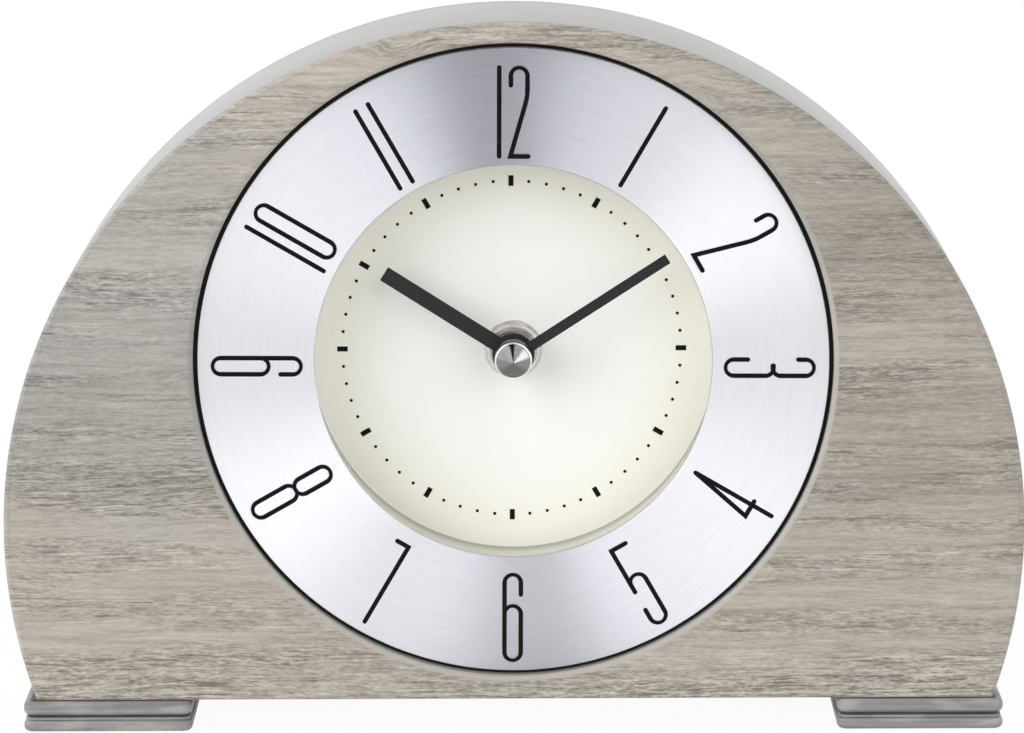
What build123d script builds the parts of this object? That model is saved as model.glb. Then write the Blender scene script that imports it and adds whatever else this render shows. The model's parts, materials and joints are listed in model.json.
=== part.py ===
from build123d import *
from math import atan2, cos, degrees, radians, sin, sqrt
import os

# Arched mantel clock with a quartz movement, in millimetres.
# The clock stands on z = 0 with its dial facing -Y and is centred on x = 0 and y = 0.

# Case
case_width = 240.0
case_depth = 50.0
arch_centre_height = 40.3
edge_band_thickness = 1.2
edge_band_round = 1.0
rim_thickness = 3.0
front_board_thickness = 12.0
base_board_thickness = 9.0
back_panel_thickness = 3.0
back_panel_gap = 0.3
access_width = 82.0
access_height = 78.0
access_corner = 8.0

# Feet
foot_height = 7.5
foot_width = 40.0
foot_overhang = 2.4
foot_projection = 1.5
foot_corner = 2.4
foot_top_bead = 3.5
foot_groove = 0.5
foot_step = 0.7
foot_groove_inset = 1.0
foot_step_inset = 0.5
foot_bead_round = 1.2

# Posts that carry the back panel
post_radius = 7.0
post_wall_gap = 2.0
post_upper_angle = 33.0
post_lower_angle = -11.0

# Screws
screw_shank_radius = 1.5
screw_head_radius = 3.0
screw_head_height = 2.0
screw_slot_width = 0.8
screw_slot_depth = 0.8
frame_screw_length = 10.0
back_screw_length = 16.0
foot_screw_bite = 5.0
foot_screw_inset = 7.5

# Dial opening and dial
top_margin = 5.0
bottom_margin = 5.3
opening_round = 1.8
dial_recess = 1.8
frame_wall = 0.9
frame_setback = 2.0
frame_ledge = 4.0
frame_ledge_thickness = 2.0
ear_length = 10.0
ear_width = 12.0
ear_thickness = 2.0
ear_angles = (33.0, 147.0, 220.0, 320.0)
chapter_ring_width = 27.4
chapter_ring_thickness = 0.8
cup_depth = 18.8
cup_wall = 2.0
cup_flange_thickness = 1.6
cup_floor_thickness = 2.0

# Movement housing
gear_room_high = 26.8
gear_room_gap = 0.7
movement_corner = 2.5
movement_wall = 1.2
movement_floor = 1.5
movement_cover_thickness = 1.2
latch_width = 6.0
latch_length = 4.0
latch_thickness = 1.0
latch_nib = 0.5
trough_floor = 1.0
battery_radius = 7.05
battery_length = 48.9
battery_nub_radius = 2.7
battery_nub_length = 1.4
battery_side_gap = 1.05
battery_floor_gap = 0.15
contact_thickness = 0.4
contact_width = 10.0
leaf_room = 2.5
leaf_width = 5.0
leaf_inset = 2.0

# Fixing of the movement to the dial
bushing_radius = 4.0
bushing_stand = 4.6
rubber_washer_radius = 9.0
rubber_washer_thickness = 0.6
dial_washer_radius = 6.9
dial_washer_thickness = 0.4
nut_radius = 6.4
nut_thickness = 2.6
nut_bevel = 0.6

# Hands, with their lengths from the axis and their lift above the dial
hour_tube_radius = 2.5
minute_shaft_radius = 1.75
minute_thread_radius = 1.4
hand_thickness = 0.6
hour_hand_lift = 7.3
hour_hand_length = 36.0
hour_hand_width = 3.65
hour_eye_radius = 5.0
hour_hand_angle = 302.5
hand_plane_gap = 4.1
minute_tip_gap = 3.5
minute_hand_width = 2.4
minute_eye_radius = 4.5
minute_hand_angle = 57.2
cap_radius = 4.4
cap_skirt = 4.6
cap_cone = 3.0
cap_point_radius = 0.3
cap_thread_length = 4.0

# Gears: tooth counts, modules and tooth form in shares of the module and the pitch
cannon_teeth = 12
minute_wheel_teeth = 36
minute_pinion_teeth = 10
hour_wheel_teeth = 40
rotor_teeth = 10
intermediate_teeth = 60
intermediate_pinion_teeth = 10
second_wheel_teeth = 50
second_pinion_teeth = 8
third_wheel_teeth = 60
third_pinion_teeth = 8
centre_wheel_teeth = 64
motion_module = 0.42
third_module = 0.28
second_module = 0.32
rotor_module = 0.20
addendum = 0.75
dedendum = 1.15
tooth_root_share = 0.46
tooth_tip_share = 0.24
wheel_thickness = 0.9
layer_pitch = 1.6
pinion_overhang = 0.2
arbor_radius = 0.5
pivot_radius = 0.35
pivot_length = 1.0
setting_arbor_radius = 0.8
boss_wall = 0.9
boss_length = 1.8
boss_gap = 0.5
centre_collar_radius = 2.2
centre_collar_thickness = 0.6
knob_teeth = 24
knob_module = 0.4
knob_thickness = 3.4

# Where the off-centre arbors stand, as directions from the hands' axis
minute_wheel_direction = 180.0
third_direction = 90.0
intermediate_direction = 25.0
rotor_direction = 50.0

# Stepping motor and circuit
magnet_radius = 2.6
magnet_overhang = 0.35
stator_gap = 0.5
stator_ring = 1.4
stator_strip = 5.0
stator_arm = 4.0
motor_wall_gap = 1.8
coil_gap = 0.5
coil_wall_gap = 0.6
coil_core_width = 4.0
coil_core_thickness = 1.0
coil_tube_wall = 0.6
coil_flange = 4.0
coil_flange_thickness = 1.0
coil_end_gap = 0.8
winding_margin = 0.4
motor_post_radius = 1.8
board_height = 19.0
board_gap = 0.6
board_thickness = 0.8
board_post_radius = 1.5
board_pin_radius = 0.7
board_post_inset = 2.2
chip_radius = 3.0
chip_height = 1.0
crystal_radius = 1.0
crystal_length = 6.0

# Clearances
seat_gap = 0.02
running_gap = 0.05
fit_gap = 0.15
end_play = 0.3

# Planes and centres worked out from the sizes above
front_y = -case_depth / 2
back_y = case_depth / 2
board_back_y = front_y + front_board_thickness
panel_front_y = back_y - back_panel_thickness
case_bottom_z = foot_height
arch_z = case_bottom_z + arch_centre_height
base_top_z = case_bottom_z + base_board_thickness
arch_radius = case_width / 2
board_radius = arch_radius - edge_band_thickness
cavity_radius = board_radius - rim_thickness
half_chord = sqrt(arch_radius ** 2 - arch_centre_height ** 2)
foot_x = half_chord + foot_overhang - foot_width / 2
case_height = arch_centre_height + arch_radius
opening_radius = (case_height - top_margin - bottom_margin) / 2
dial_z = case_bottom_z + bottom_margin + opening_radius
frame_radius = opening_radius - fit_gap
frame_bore = frame_radius - frame_wall
ring_front_y = front_y + dial_recess
frame_front_y = ring_front_y + frame_setback
ring_back_y = ring_front_y + chapter_ring_thickness
flange_back_y = ring_back_y + cup_flange_thickness
ring_radius = frame_bore - running_gap
ring_bore = ring_radius - chapter_ring_width
cup_bore = ring_bore + fit_gap
dial_y = ring_front_y + cup_depth
dial_back_y = dial_y + cup_floor_thickness
movement_front_y = dial_back_y + rubber_washer_thickness
train_floor_y = movement_front_y + movement_floor
hour_hand_y = dial_y - hour_hand_lift
minute_hand_y = hour_hand_y - hand_thickness - hand_plane_gap
minute_hand_length = cup_bore - minute_tip_gap


# Solids along the depth of the clock

def disc(radius, y_front, y_back, x=0.0, z=0.0):
    """Round bar from y_front to y_back."""
    bar = Cylinder(radius, y_back - y_front, align=(Align.CENTER, Align.CENTER, Align.MIN))
    return Pos(x, y_front, z) * Rot(-90, 0, 0) * bar


def plate(outline, y_front, y_back):
    """Flat outline, drawn as it is seen from the front, given its thickness."""
    return extrude(Plane.XZ.offset(-y_back) * outline, amount=y_back - y_front)


def turned(points):
    """Turned piece about the hands' axis, from points of (radius, y)."""
    section = make_face(Polyline(*points, close=True))
    return Pos(0, 0, dial_z) * revolve(section, Axis.Y)


def arch(radius, bottom):
    """Arch outline: a circle about the arch centre, cut off level at a height."""
    cut = Pos(0, bottom) * Rectangle(2 * case_width, case_width, align=(Align.CENTER, Align.MAX))
    return Pos(0, arch_z) * Circle(radius) - cut


def rim_edges(solid, radius, y):
    """Round edges of one radius in one plane across the depth."""
    close = 0.001
    round_edges = solid.edges().filter_by(GeomType.CIRCLE)
    return round_edges.filter_by(lambda e: abs(e.radius - radius) < close and abs(e.center().Y - y) < close)


# Screws

def pan_screw(length):
    """Slotted pan-head screw: its head seats at z = 0 and its shank points down."""
    head = Cylinder(screw_head_radius, screw_head_height, align=(Align.CENTER, Align.CENTER, Align.MIN))
    head = chamfer(head.edges().group_by(Axis.Z)[-1], screw_head_height / 3)
    slot = Box(2 * screw_head_radius, screw_slot_width, screw_slot_depth,
               align=(Align.CENTER, Align.CENTER, Align.MAX))
    shank = Cylinder(screw_shank_radius, length, align=(Align.CENTER, Align.CENTER, Align.MAX))
    return head - Pos(0, 0, screw_head_height) * slot + shank


def flush_screw(length):
    """Slotted countersunk screw: its head is level with z = 0 and its shank points down."""
    head = Cone(screw_shank_radius, screw_head_radius, screw_head_height,
                align=(Align.CENTER, Align.CENTER, Align.MAX))
    slot = Box(2 * screw_head_radius, screw_slot_width, screw_slot_depth,
               align=(Align.CENTER, Align.CENTER, Align.MAX))
    shank = Cylinder(screw_shank_radius, length, align=(Align.CENTER, Align.CENTER, Align.MAX))
    return head + shank - slot


# Case

def post_places():
    """Centres (x, z) of the four posts behind the front board."""
    reach = cavity_radius - post_wall_gap - post_radius
    places = []
    for angle in (post_upper_angle, post_lower_angle):
        for side in (-1, 1):
            places.append((side * reach * cos(radians(angle)), arch_z + reach * sin(radians(angle))))
    return places


def ear_places():
    """Screw centres (x, z) on the ears of the dial frame."""
    reach = frame_radius + ear_length / 2
    return [(reach * cos(radians(a)), dial_z + reach * sin(radians(a))) for a in ear_angles]


def foot_screw_places():
    """Screw centres (x, y) in the base board, two over each foot."""
    ends = (board_back_y + foot_screw_inset, panel_front_y - foot_screw_inset)
    return [(side * foot_x, y) for side in (-1, 1) for y in ends]


def make_front_board():
    """Front board with the rounded lip of the dial opening."""
    board = plate(arch(board_radius - seat_gap, case_bottom_z), front_y, board_back_y)
    board -= disc(opening_radius, front_y, board_back_y, 0, dial_z)
    board = fillet(rim_edges(board, opening_radius, front_y), opening_round)
    bite = frame_screw_length - ear_thickness
    for x, z in ear_places():
        board -= disc(screw_shank_radius + seat_gap, board_back_y - bite, board_back_y, x, z)
    return board


def make_arch_rim():
    """Bent rim that joins the front board to the back panel."""
    return plate(arch(board_radius - seat_gap, case_bottom_z) - arch(cavity_radius, -case_width),
                 board_back_y, back_y)


def make_edge_band():
    """Smooth band wrapped over the edge of the case, with eased arrises."""
    band = plate(arch(arch_radius, case_bottom_z) - arch(board_radius, -case_width), front_y, back_y)
    for y in (front_y, back_y):
        band = fillet(rim_edges(band, arch_radius, y), edge_band_round)
    return band


def make_base_board():
    """Base board between the ends of the rim."""
    outline = arch(cavity_radius - seat_gap, case_bottom_z) - arch(cavity_radius, base_top_z)
    board = plate(outline, board_back_y, back_y)
    for x, y in foot_screw_places():
        hole = Cylinder(screw_shank_radius + seat_gap, base_board_thickness,
                        align=(Align.CENTER, Align.CENTER, Align.MIN))
        board -= Pos(x, y, case_bottom_z) * hole
    return board


def make_back_panel():
    """Back panel, let into the rim, with the opening that reaches the movement."""
    window = Pos(0, dial_z) * RectangleRounded(access_width, access_height, access_corner)
    outline = arch(cavity_radius - back_panel_gap, base_top_z + back_panel_gap) - window
    panel = plate(outline, panel_front_y, back_y)
    for x, z in post_places():
        sink = Cone(screw_shank_radius + seat_gap, screw_head_radius + seat_gap, screw_head_height,
                    align=(Align.CENTER, Align.CENTER, Align.MAX))
        panel -= disc(screw_shank_radius + seat_gap, panel_front_y, back_y, x, z)
        panel -= Pos(x, back_y, z) * Rot(-90, 0, 0) * sink
    return panel


def make_back_posts():
    """Four dowel posts, glued behind the front board, that take the back screws."""
    posts = []
    bite = back_screw_length - back_panel_thickness
    for x, z in post_places():
        post = disc(post_radius, board_back_y, panel_front_y, x, z)
        post -= disc(screw_shank_radius + seat_gap, panel_front_y - bite, panel_front_y, x, z)
        posts.append(post)
    return Compound(posts)


def make_back_screws():
    """Flush screws through the back panel into the posts."""
    return Compound([Pos(x, back_y, z) * Rot(-90, 0, 0) * flush_screw(back_screw_length)
                     for x, z in post_places()])


def foot_layer(z_low, z_high, inset, edge_round):
    """One step of the foot moulding, drawn in from its outline and rounded along its edges."""
    depth = case_depth + 2 * foot_projection
    layer = Box(foot_width - 2 * inset, depth - 2 * inset, z_high - z_low,
                align=(Align.CENTER, Align.CENTER, Align.MIN))
    layer = fillet(layer.edges().filter_by(Axis.Z), foot_corner - inset)
    if edge_round:
        levels = layer.edges().group_by(Axis.Z)
        layer = fillet(levels[0] + levels[-1], edge_round)
    return Pos(0, 0, z_low) * layer


def make_foot(side):
    """Foot moulding: a bead, a groove, a small step and a lower bead; side is -1 or 1."""
    groove_top = foot_height - foot_top_bead
    groove_low = groove_top - foot_groove
    step_low = groove_low - foot_step
    foot = foot_layer(groove_top, foot_height, 0, foot_bead_round)
    foot += foot_layer(step_low, groove_top + foot_bead_round, foot_groove_inset, 0)
    foot += foot_layer(step_low, groove_low, foot_step_inset, 0)
    foot += foot_layer(0, step_low, 0, foot_bead_round)
    foot = Pos(side * foot_x, 0, 0) * foot
    for x, y in foot_screw_places():
        if x * side > 0:
            foot -= Pos(x, y, foot_height) * Cylinder(screw_shank_radius + seat_gap, foot_screw_bite,
                                                      align=(Align.CENTER, Align.CENTER, Align.MAX))
    return foot


def make_foot_screws():
    """Screws from inside the case, through the base board, into the feet."""
    length = base_board_thickness + foot_screw_bite
    return Compound([Pos(x, y, base_top_z) * pan_screw(length) for x, y in foot_screw_places()])


# Dial

def make_dial_frame():
    """Black frame ring behind the lip of the opening, with a ledge and four screw ears."""
    ledge_back = flange_back_y + frame_ledge_thickness
    ear_back = board_back_y + ear_thickness
    frame = turned([
        (frame_bore, frame_front_y), (frame_radius, frame_front_y), (frame_radius, board_back_y),
        (frame_bore, board_back_y), (frame_bore, ledge_back), (frame_bore - frame_ledge, ledge_back),
        (frame_bore - frame_ledge, flange_back_y), (frame_bore, flange_back_y),
    ])
    for angle, (x, z) in zip(ear_angles, ear_places()):
        reach = frame_wall + ear_length
        tab = Pos(frame_bore, 0) * Rectangle(reach, ear_width, align=(Align.MIN, Align.CENTER))
        tab = fillet(tab.vertices().group_by(Axis.X)[-1], ear_width / 3)
        frame += plate(Pos(0, dial_z) * Rot(0, 0, angle) * tab, board_back_y, ear_back)
        frame -= disc(screw_shank_radius + seat_gap, board_back_y, ear_back, x, z)
    return frame


def make_frame_screws():
    """Pan-head screws through the ears into the front board."""
    seat_y = board_back_y + ear_thickness
    return Compound([Pos(x, seat_y, z) * Rot(-90, 0, 0) * pan_screw(frame_screw_length)
                     for x, z in ear_places()])


def make_dial_cup():
    """Moulded dial cup: a flange under the chapter ring, a deep wall and the dial floor."""
    wall_radius = cup_bore + cup_wall
    return turned([
        (cup_bore, ring_back_y), (ring_radius, ring_back_y), (ring_radius, flange_back_y),
        (wall_radius, flange_back_y), (wall_radius, dial_back_y),
        (bushing_radius + fit_gap, dial_back_y), (bushing_radius + fit_gap, dial_y), (cup_bore, dial_y),
    ])


def make_chapter_ring():
    """Flat aluminium ring that carries the numerals."""
    return turned([(ring_bore, ring_front_y), (ring_radius, ring_front_y),
                   (ring_radius, ring_back_y), (ring_bore, ring_back_y)])


def make_rubber_washer():
    """Rubber washer between the movement and the dial floor."""
    bore = bushing_radius + seat_gap
    return turned([(bore, dial_back_y), (rubber_washer_radius, dial_back_y),
                   (rubber_washer_radius, movement_front_y), (bore, movement_front_y)])


def make_dial_washer():
    """Flat washer under the mounting nut."""
    front = dial_y - dial_washer_thickness
    bore = bushing_radius + fit_gap
    return turned([(bore, front), (dial_washer_radius, front), (dial_washer_radius, dial_y), (bore, dial_y)])


def make_mounting_nut():
    """Round nut that clamps the movement to the dial floor."""
    back = dial_y - dial_washer_thickness
    front = back - nut_thickness
    bore = bushing_radius + seat_gap
    return turned([(bore, front), (nut_radius - nut_bevel, front), (nut_radius, front + nut_bevel),
                   (nut_radius, back), (bore, back)])


def make_threaded_bushing():
    """Brass bushing, fixed in the movement's floor, that guides the hour tube."""
    front = dial_y - bushing_stand
    bore = hour_tube_radius + running_gap
    return turned([(bore, front), (bushing_radius, front), (bushing_radius, train_floor_y),
                   (bore, train_floor_y)])


# Gear train

def layer(number):
    """Front face of a layer of wheels, counted from the movement's floor."""
    return train_floor_y + end_play + number * layer_pitch


def polar(origin, distance, angle):
    """Point (x, z) at a distance and direction from another."""
    return (origin[0] + distance * cos(radians(angle)), origin[1] + distance * sin(radians(angle)))


def bearing(start, end):
    """Direction from one point to another, in degrees."""
    return degrees(atan2(end[1] - start[1], end[0] - start[0]))


def toothed(teeth, module, tooth_direction):
    """Gear outline with straight flanks and one tooth centred on a direction."""
    pitch = 360 / teeth
    root = module * (teeth / 2 - dedendum)
    tip = module * (teeth / 2 + addendum)
    flank = [(root, -tooth_root_share), (tip, -tooth_tip_share)]
    flank += [(tip, tooth_tip_share), (root, tooth_root_share)]
    points = []
    for tooth in range(teeth):
        for radius, share in flank:
            points.append(polar((0, 0), radius, tooth_direction + (tooth + share / 2) * pitch))
    return make_face(Polyline(*points, close=True))


def wheel(centre, mate, teeth, module, number):
    """Wheel in a layer, with the gap between two teeth facing its mate."""
    outline = toothed(teeth, module, bearing(centre, mate) + 180 / teeth)
    front = layer(number)
    return plate(Pos(centre[0], dial_z + centre[1]) * outline, front, front + wheel_thickness)


def pinion(centre, mate, teeth, module, number):
    """Pinion a little wider than its mate, with a tooth facing it."""
    outline = toothed(teeth, module, bearing(centre, mate))
    front = layer(number)
    return plate(Pos(centre[0], dial_z + centre[1]) * outline,
                 front - pinion_overhang, front + wheel_thickness + pinion_overhang)


def bar(radius, y_front, y_back, centre):
    """Round bar at a train centre."""
    return disc(radius, y_front, y_back, centre[0], dial_z + centre[1])


def arbor(centre):
    """Arbor with a pivot at each end, between the movement's floor and its cover."""
    front = train_floor_y + end_play / 2
    back = pivot_y - end_play / 2
    shaft = bar(arbor_radius, front, back, centre)
    return shaft + bar(pivot_radius, front - pivot_length, back + pivot_length, centre)


hand_axis = (0.0, 0.0)
motion_distance = motion_module * (cannon_teeth + minute_wheel_teeth) / 2
hour_module = 2 * motion_distance / (minute_pinion_teeth + hour_wheel_teeth)
third_distance = third_module * (second_pinion_teeth + third_wheel_teeth) / 2
centre_module = 2 * third_distance / (third_pinion_teeth + centre_wheel_teeth)
second_distance = second_module * (intermediate_pinion_teeth + second_wheel_teeth) / 2
rotor_distance = rotor_module * (rotor_teeth + intermediate_teeth) / 2
minute_wheel_at = polar(hand_axis, motion_distance, minute_wheel_direction)
third_at = polar(hand_axis, third_distance, third_direction)
intermediate_at = polar(hand_axis, second_distance, intermediate_direction)
rotor_at = polar(intermediate_at, rotor_distance, rotor_direction)
arbor_centres = (hand_axis, third_at, intermediate_at, rotor_at)
pivot_y = layer(6) + wheel_thickness + pinion_overhang + boss_gap
cover_front_y = pivot_y + boss_length
movement_back_y = cover_front_y + movement_cover_thickness
stator_y = layer(3)
stator_back_y = stator_y + wheel_thickness
cannon_back_y = layer(1) + wheel_thickness + pinion_overhang
collar_front_y = layer(2) + wheel_thickness + pinion_overhang
collar_back_y = collar_front_y + centre_collar_thickness

# The housing is as large as the train, the motor and the battery need
largest_wheel = max(hour_module * (hour_wheel_teeth / 2 + addendum),
                    centre_module * (centre_wheel_teeth / 2 + addendum),
                    second_module * (second_wheel_teeth / 2 + addendum))
coil_x = rotor_at[0] + magnet_radius + stator_gap + stator_ring + coil_gap + coil_flange
cell_length = battery_length + battery_nub_length
inner_half = max(coil_x + coil_flange + coil_wall_gap,
                 (cell_length + 2 * contact_thickness + leaf_room) / 2)
gear_room_low = -largest_wheel - gear_room_gap
trough_top = gear_room_low - movement_wall
trough_height = 2 * (battery_radius + battery_side_gap)
trough_low = trough_top - trough_height
battery_z = trough_top - trough_height / 2
housing_low = trough_low - movement_wall
housing_high = gear_room_high + movement_wall
housing_width = 2 * (inner_half + movement_wall)
stator_low = gear_room_low + motor_wall_gap + stator_arm / 2
stator_high = gear_room_high - motor_wall_gap - stator_arm / 2
board_high = gear_room_high - motor_wall_gap
board_low = board_high - board_height
board_left = motor_wall_gap - inner_half
board_right = -motion_distance - setting_arbor_radius - board_gap
latch_z = (gear_room_low + gear_room_high) / 2


def make_minute_arbor():
    """Minute arbor: thread for the cap, shaft, cannon pinion, clutch seat and end collar."""
    seat_radius = minute_shaft_radius - fit_gap
    shoulder_y = minute_hand_y
    shaft = bar(minute_thread_radius, shoulder_y - hand_thickness - cap_thread_length, shoulder_y, hand_axis)
    shaft += bar(minute_shaft_radius, shoulder_y, cannon_back_y, hand_axis)
    shaft += pinion(hand_axis, minute_wheel_at, cannon_teeth, motion_module, 1)
    shaft += bar(seat_radius, cannon_back_y, collar_front_y, hand_axis)
    shaft += bar(centre_collar_radius, collar_front_y, collar_back_y, hand_axis)
    pivot_end_y = collar_back_y - pivot_length - end_play
    return shaft - bar(pivot_radius + running_gap, pivot_end_y, collar_back_y, hand_axis)


def make_centre_wheel():
    """Centre wheel, a slipping fit on the minute arbor."""
    centre = wheel(hand_axis, third_at, centre_wheel_teeth, centre_module, 2)
    bore = minute_shaft_radius - fit_gap + running_gap
    return centre - bar(bore, layer(2), layer(2) + wheel_thickness, hand_axis)


def make_hour_wheel():
    """Hour wheel with the tube that carries the hour hand."""
    front = hour_hand_y - hand_thickness
    hour = wheel(hand_axis, minute_wheel_at, hour_wheel_teeth, hour_module, 0)
    hour += bar(hour_tube_radius, front, layer(0), hand_axis)
    return hour - bar(minute_shaft_radius + running_gap, front, layer(0) + wheel_thickness, hand_axis)


def make_minute_wheel():
    """Minute wheel and pinion on the arbor that also carries the setting knob."""
    front = train_floor_y + end_play / 2
    piece = wheel(minute_wheel_at, hand_axis, minute_wheel_teeth, motion_module, 1)
    piece += pinion(minute_wheel_at, hand_axis, minute_pinion_teeth, hour_module, 0)
    end = movement_back_y + end_play + knob_thickness / 2
    piece += bar(setting_arbor_radius, front, end, minute_wheel_at)
    return piece + bar(pivot_radius, front - pivot_length, front, minute_wheel_at)


def make_setting_knob():
    """Fluted setting knob pressed on the minute wheel's arbor."""
    front = movement_back_y + end_play
    outline = Pos(minute_wheel_at[0], dial_z + minute_wheel_at[1]) * toothed(knob_teeth, knob_module, 0)
    knob = plate(outline, front, front + knob_thickness)
    return knob - bar(setting_arbor_radius + seat_gap, front, front + knob_thickness / 2, minute_wheel_at)


def make_third_wheel():
    """Third wheel and pinion."""
    piece = wheel(third_at, hand_axis, third_wheel_teeth, third_module, 4)
    piece += pinion(third_at, hand_axis, third_pinion_teeth, centre_module, 2)
    return piece + arbor(third_at)


def make_second_wheel():
    """Second wheel and pinion, whose front pivot runs in the end of the minute arbor."""
    front = collar_back_y + end_play
    back = pivot_y - end_play / 2
    piece = wheel(hand_axis, intermediate_at, second_wheel_teeth, second_module, 5)
    piece += pinion(hand_axis, third_at, second_pinion_teeth, third_module, 4)
    piece += bar(arbor_radius, front, back, hand_axis)
    return piece + bar(pivot_radius, front - pivot_length, back + pivot_length, hand_axis)


def make_intermediate_wheel():
    """Intermediate wheel and pinion."""
    piece = wheel(intermediate_at, rotor_at, intermediate_teeth, rotor_module, 6)
    piece += pinion(intermediate_at, hand_axis, intermediate_pinion_teeth, second_module, 5)
    return piece + arbor(intermediate_at)


def make_rotor():
    """Rotor of the stepping motor: a round magnet and its pinion on one arbor."""
    piece = pinion(rotor_at, intermediate_at, rotor_teeth, rotor_module, 6)
    piece += bar(magnet_radius, stator_y - magnet_overhang, stator_back_y + magnet_overhang, rotor_at)
    return piece + arbor(rotor_at)


# Stepping motor and circuit

def make_stator():
    """Stator: a strip with a ring round the magnet and an arm at each end for the core."""
    hole_radius = magnet_radius + stator_gap
    strip_low = stator_low - stator_arm / 2
    strip_high = stator_high + stator_arm / 2
    strip = Pos(rotor_at[0], strip_low) * Rectangle(stator_strip, strip_high - strip_low,
                                                    align=(Align.CENTER, Align.MIN))
    outline = strip + Pos(*rotor_at) * Circle(hole_radius + stator_ring)
    for z in (stator_low, stator_high):
        arm = Rectangle(coil_x + stator_arm / 2 - rotor_at[0], stator_arm, align=(Align.MIN, Align.CENTER))
        outline += Pos(rotor_at[0], z) * arm
    outline -= Pos(*rotor_at) * Circle(hole_radius)
    return plate(Pos(0, dial_z) * outline, stator_y, stator_back_y)


def make_coil_core():
    """Core strip through the coil, lying on the stator's arms."""
    low = stator_low - stator_arm / 2
    high = stator_high + stator_arm / 2
    strip = Rectangle(coil_core_width, high - low, align=(Align.CENTER, Align.MIN))
    strip = Pos(coil_x, dial_z + low) * strip
    return plate(strip, stator_back_y, stator_back_y + coil_core_thickness)


def coil_span():
    """Lowest and highest z of the bobbin, between the stator's arms."""
    low = dial_z + stator_low + stator_arm / 2 + coil_end_gap
    high = dial_z + stator_high - stator_arm / 2 - coil_end_gap
    return low, high


def coil_centre_y():
    """Depth of the coil's axis."""
    return stator_back_y + coil_core_thickness / 2


def make_coil_bobbin():
    """Bobbin: a square tube on the core with a flange at each end."""
    low, high = coil_span()
    floor = Align.MIN
    width = coil_core_width + 2 * coil_tube_wall
    depth = coil_core_thickness + 2 * coil_tube_wall
    bobbin = Box(width, depth, high - low, align=(Align.CENTER, Align.CENTER, floor))
    flange = Cylinder(coil_flange, coil_flange_thickness, align=(Align.CENTER, Align.CENTER, floor))
    bobbin += flange + Pos(0, 0, high - low - coil_flange_thickness) * flange
    bobbin -= Box(coil_core_width + seat_gap, coil_core_thickness + seat_gap, high - low,
                  align=(Align.CENTER, Align.CENTER, floor))
    return Pos(coil_x, coil_centre_y(), low) * bobbin


def make_coil_winding():
    """Copper winding between the bobbin's flanges."""
    low, high = coil_span()
    length = high - low - 2 * coil_flange_thickness - 2 * seat_gap
    winding = Cylinder(coil_flange - winding_margin, length)
    winding -= Box(coil_core_width + 2 * coil_tube_wall + seat_gap,
                   coil_core_thickness + 2 * coil_tube_wall + seat_gap, length)
    return Pos(coil_x, coil_centre_y(), (low + high) / 2) * winding


def board_post_places():
    """Centres of the two posts under the circuit board."""
    return [(board_left + board_post_inset, board_low + board_post_inset),
            (board_right - board_post_inset, board_high - board_post_inset)]


def make_circuit_board():
    """Circuit board with its chip under a drop of resin."""
    front = layer(6)
    width = board_right - board_left
    height = board_high - board_low
    outline = Pos(board_left, dial_z + board_low) * Rectangle(width, height, align=(Align.MIN, Align.MIN))
    board = plate(outline, front, front + board_thickness)
    for x, z in board_post_places():
        board -= disc(board_pin_radius + running_gap, front, front + board_thickness, x, dial_z + z)
    middle = Pos(board_left + width / 2, front, dial_z + board_low + height / 2)
    drop = Cone(chip_radius, chip_radius / 2, chip_height, align=(Align.CENTER, Align.CENTER, Align.MIN))
    return board + middle * Rot(90, 0, 0) * drop


def make_quartz_crystal():
    """Quartz crystal in its can, lying on the back of the circuit board."""
    x = (board_left + board_right) / 2
    z = dial_z + board_high - board_post_inset - crystal_length / 2
    can = Cylinder(crystal_radius, crystal_length)
    can = chamfer(can.edges().filter_by(GeomType.CIRCLE), crystal_radius / 4)
    return Pos(x, layer(6) + board_thickness + crystal_radius, z) * can


# Movement housing

def housing_outline(low, high):
    """Rounded outline of the housing between two heights about the hands' axis."""
    return Pos(0, dial_z + (low + high) / 2) * RectangleRounded(housing_width, high - low, movement_corner)


def room(low, high):
    """Outline of a room between the side walls of the housing."""
    return Pos(0, dial_z + low) * Rectangle(2 * inner_half, high - low, align=(Align.CENTER, Align.MIN))


def make_movement_case():
    """Moulded tray: gear room, battery trough, posts, pivot holes and latch slots."""
    tray = plate(housing_outline(housing_low, housing_high), movement_front_y, cover_front_y)
    tray -= plate(room(gear_room_low, gear_room_high), train_floor_y, cover_front_y)
    tray -= plate(room(trough_low, trough_top), movement_front_y + trough_floor, cover_front_y)
    for z in (stator_low, stator_high):
        tray += bar(motor_post_radius, train_floor_y, stator_y, (coil_x, z))
    for place in board_post_places():
        tray += bar(board_post_radius, train_floor_y, layer(6), place)
        tray += bar(board_pin_radius, layer(6), layer(6) + board_thickness, place)
    for place in (third_at, intermediate_at, rotor_at, minute_wheel_at):
        tray -= bar(pivot_radius + running_gap, train_floor_y - pivot_length, train_floor_y, place)
    tray -= bar(bushing_radius + seat_gap, movement_front_y, train_floor_y, hand_axis)
    slot = Box(latch_nib + fit_gap, latch_nib + 2 * fit_gap, latch_width + 2 * fit_gap,
               align=(Align.MIN, Align.CENTER, Align.CENTER))
    slot = Pos(inner_half, cover_front_y - latch_length + latch_nib / 2, dial_z + latch_z) * slot
    return tray - slot - mirror(slot, Plane.YZ)


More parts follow.
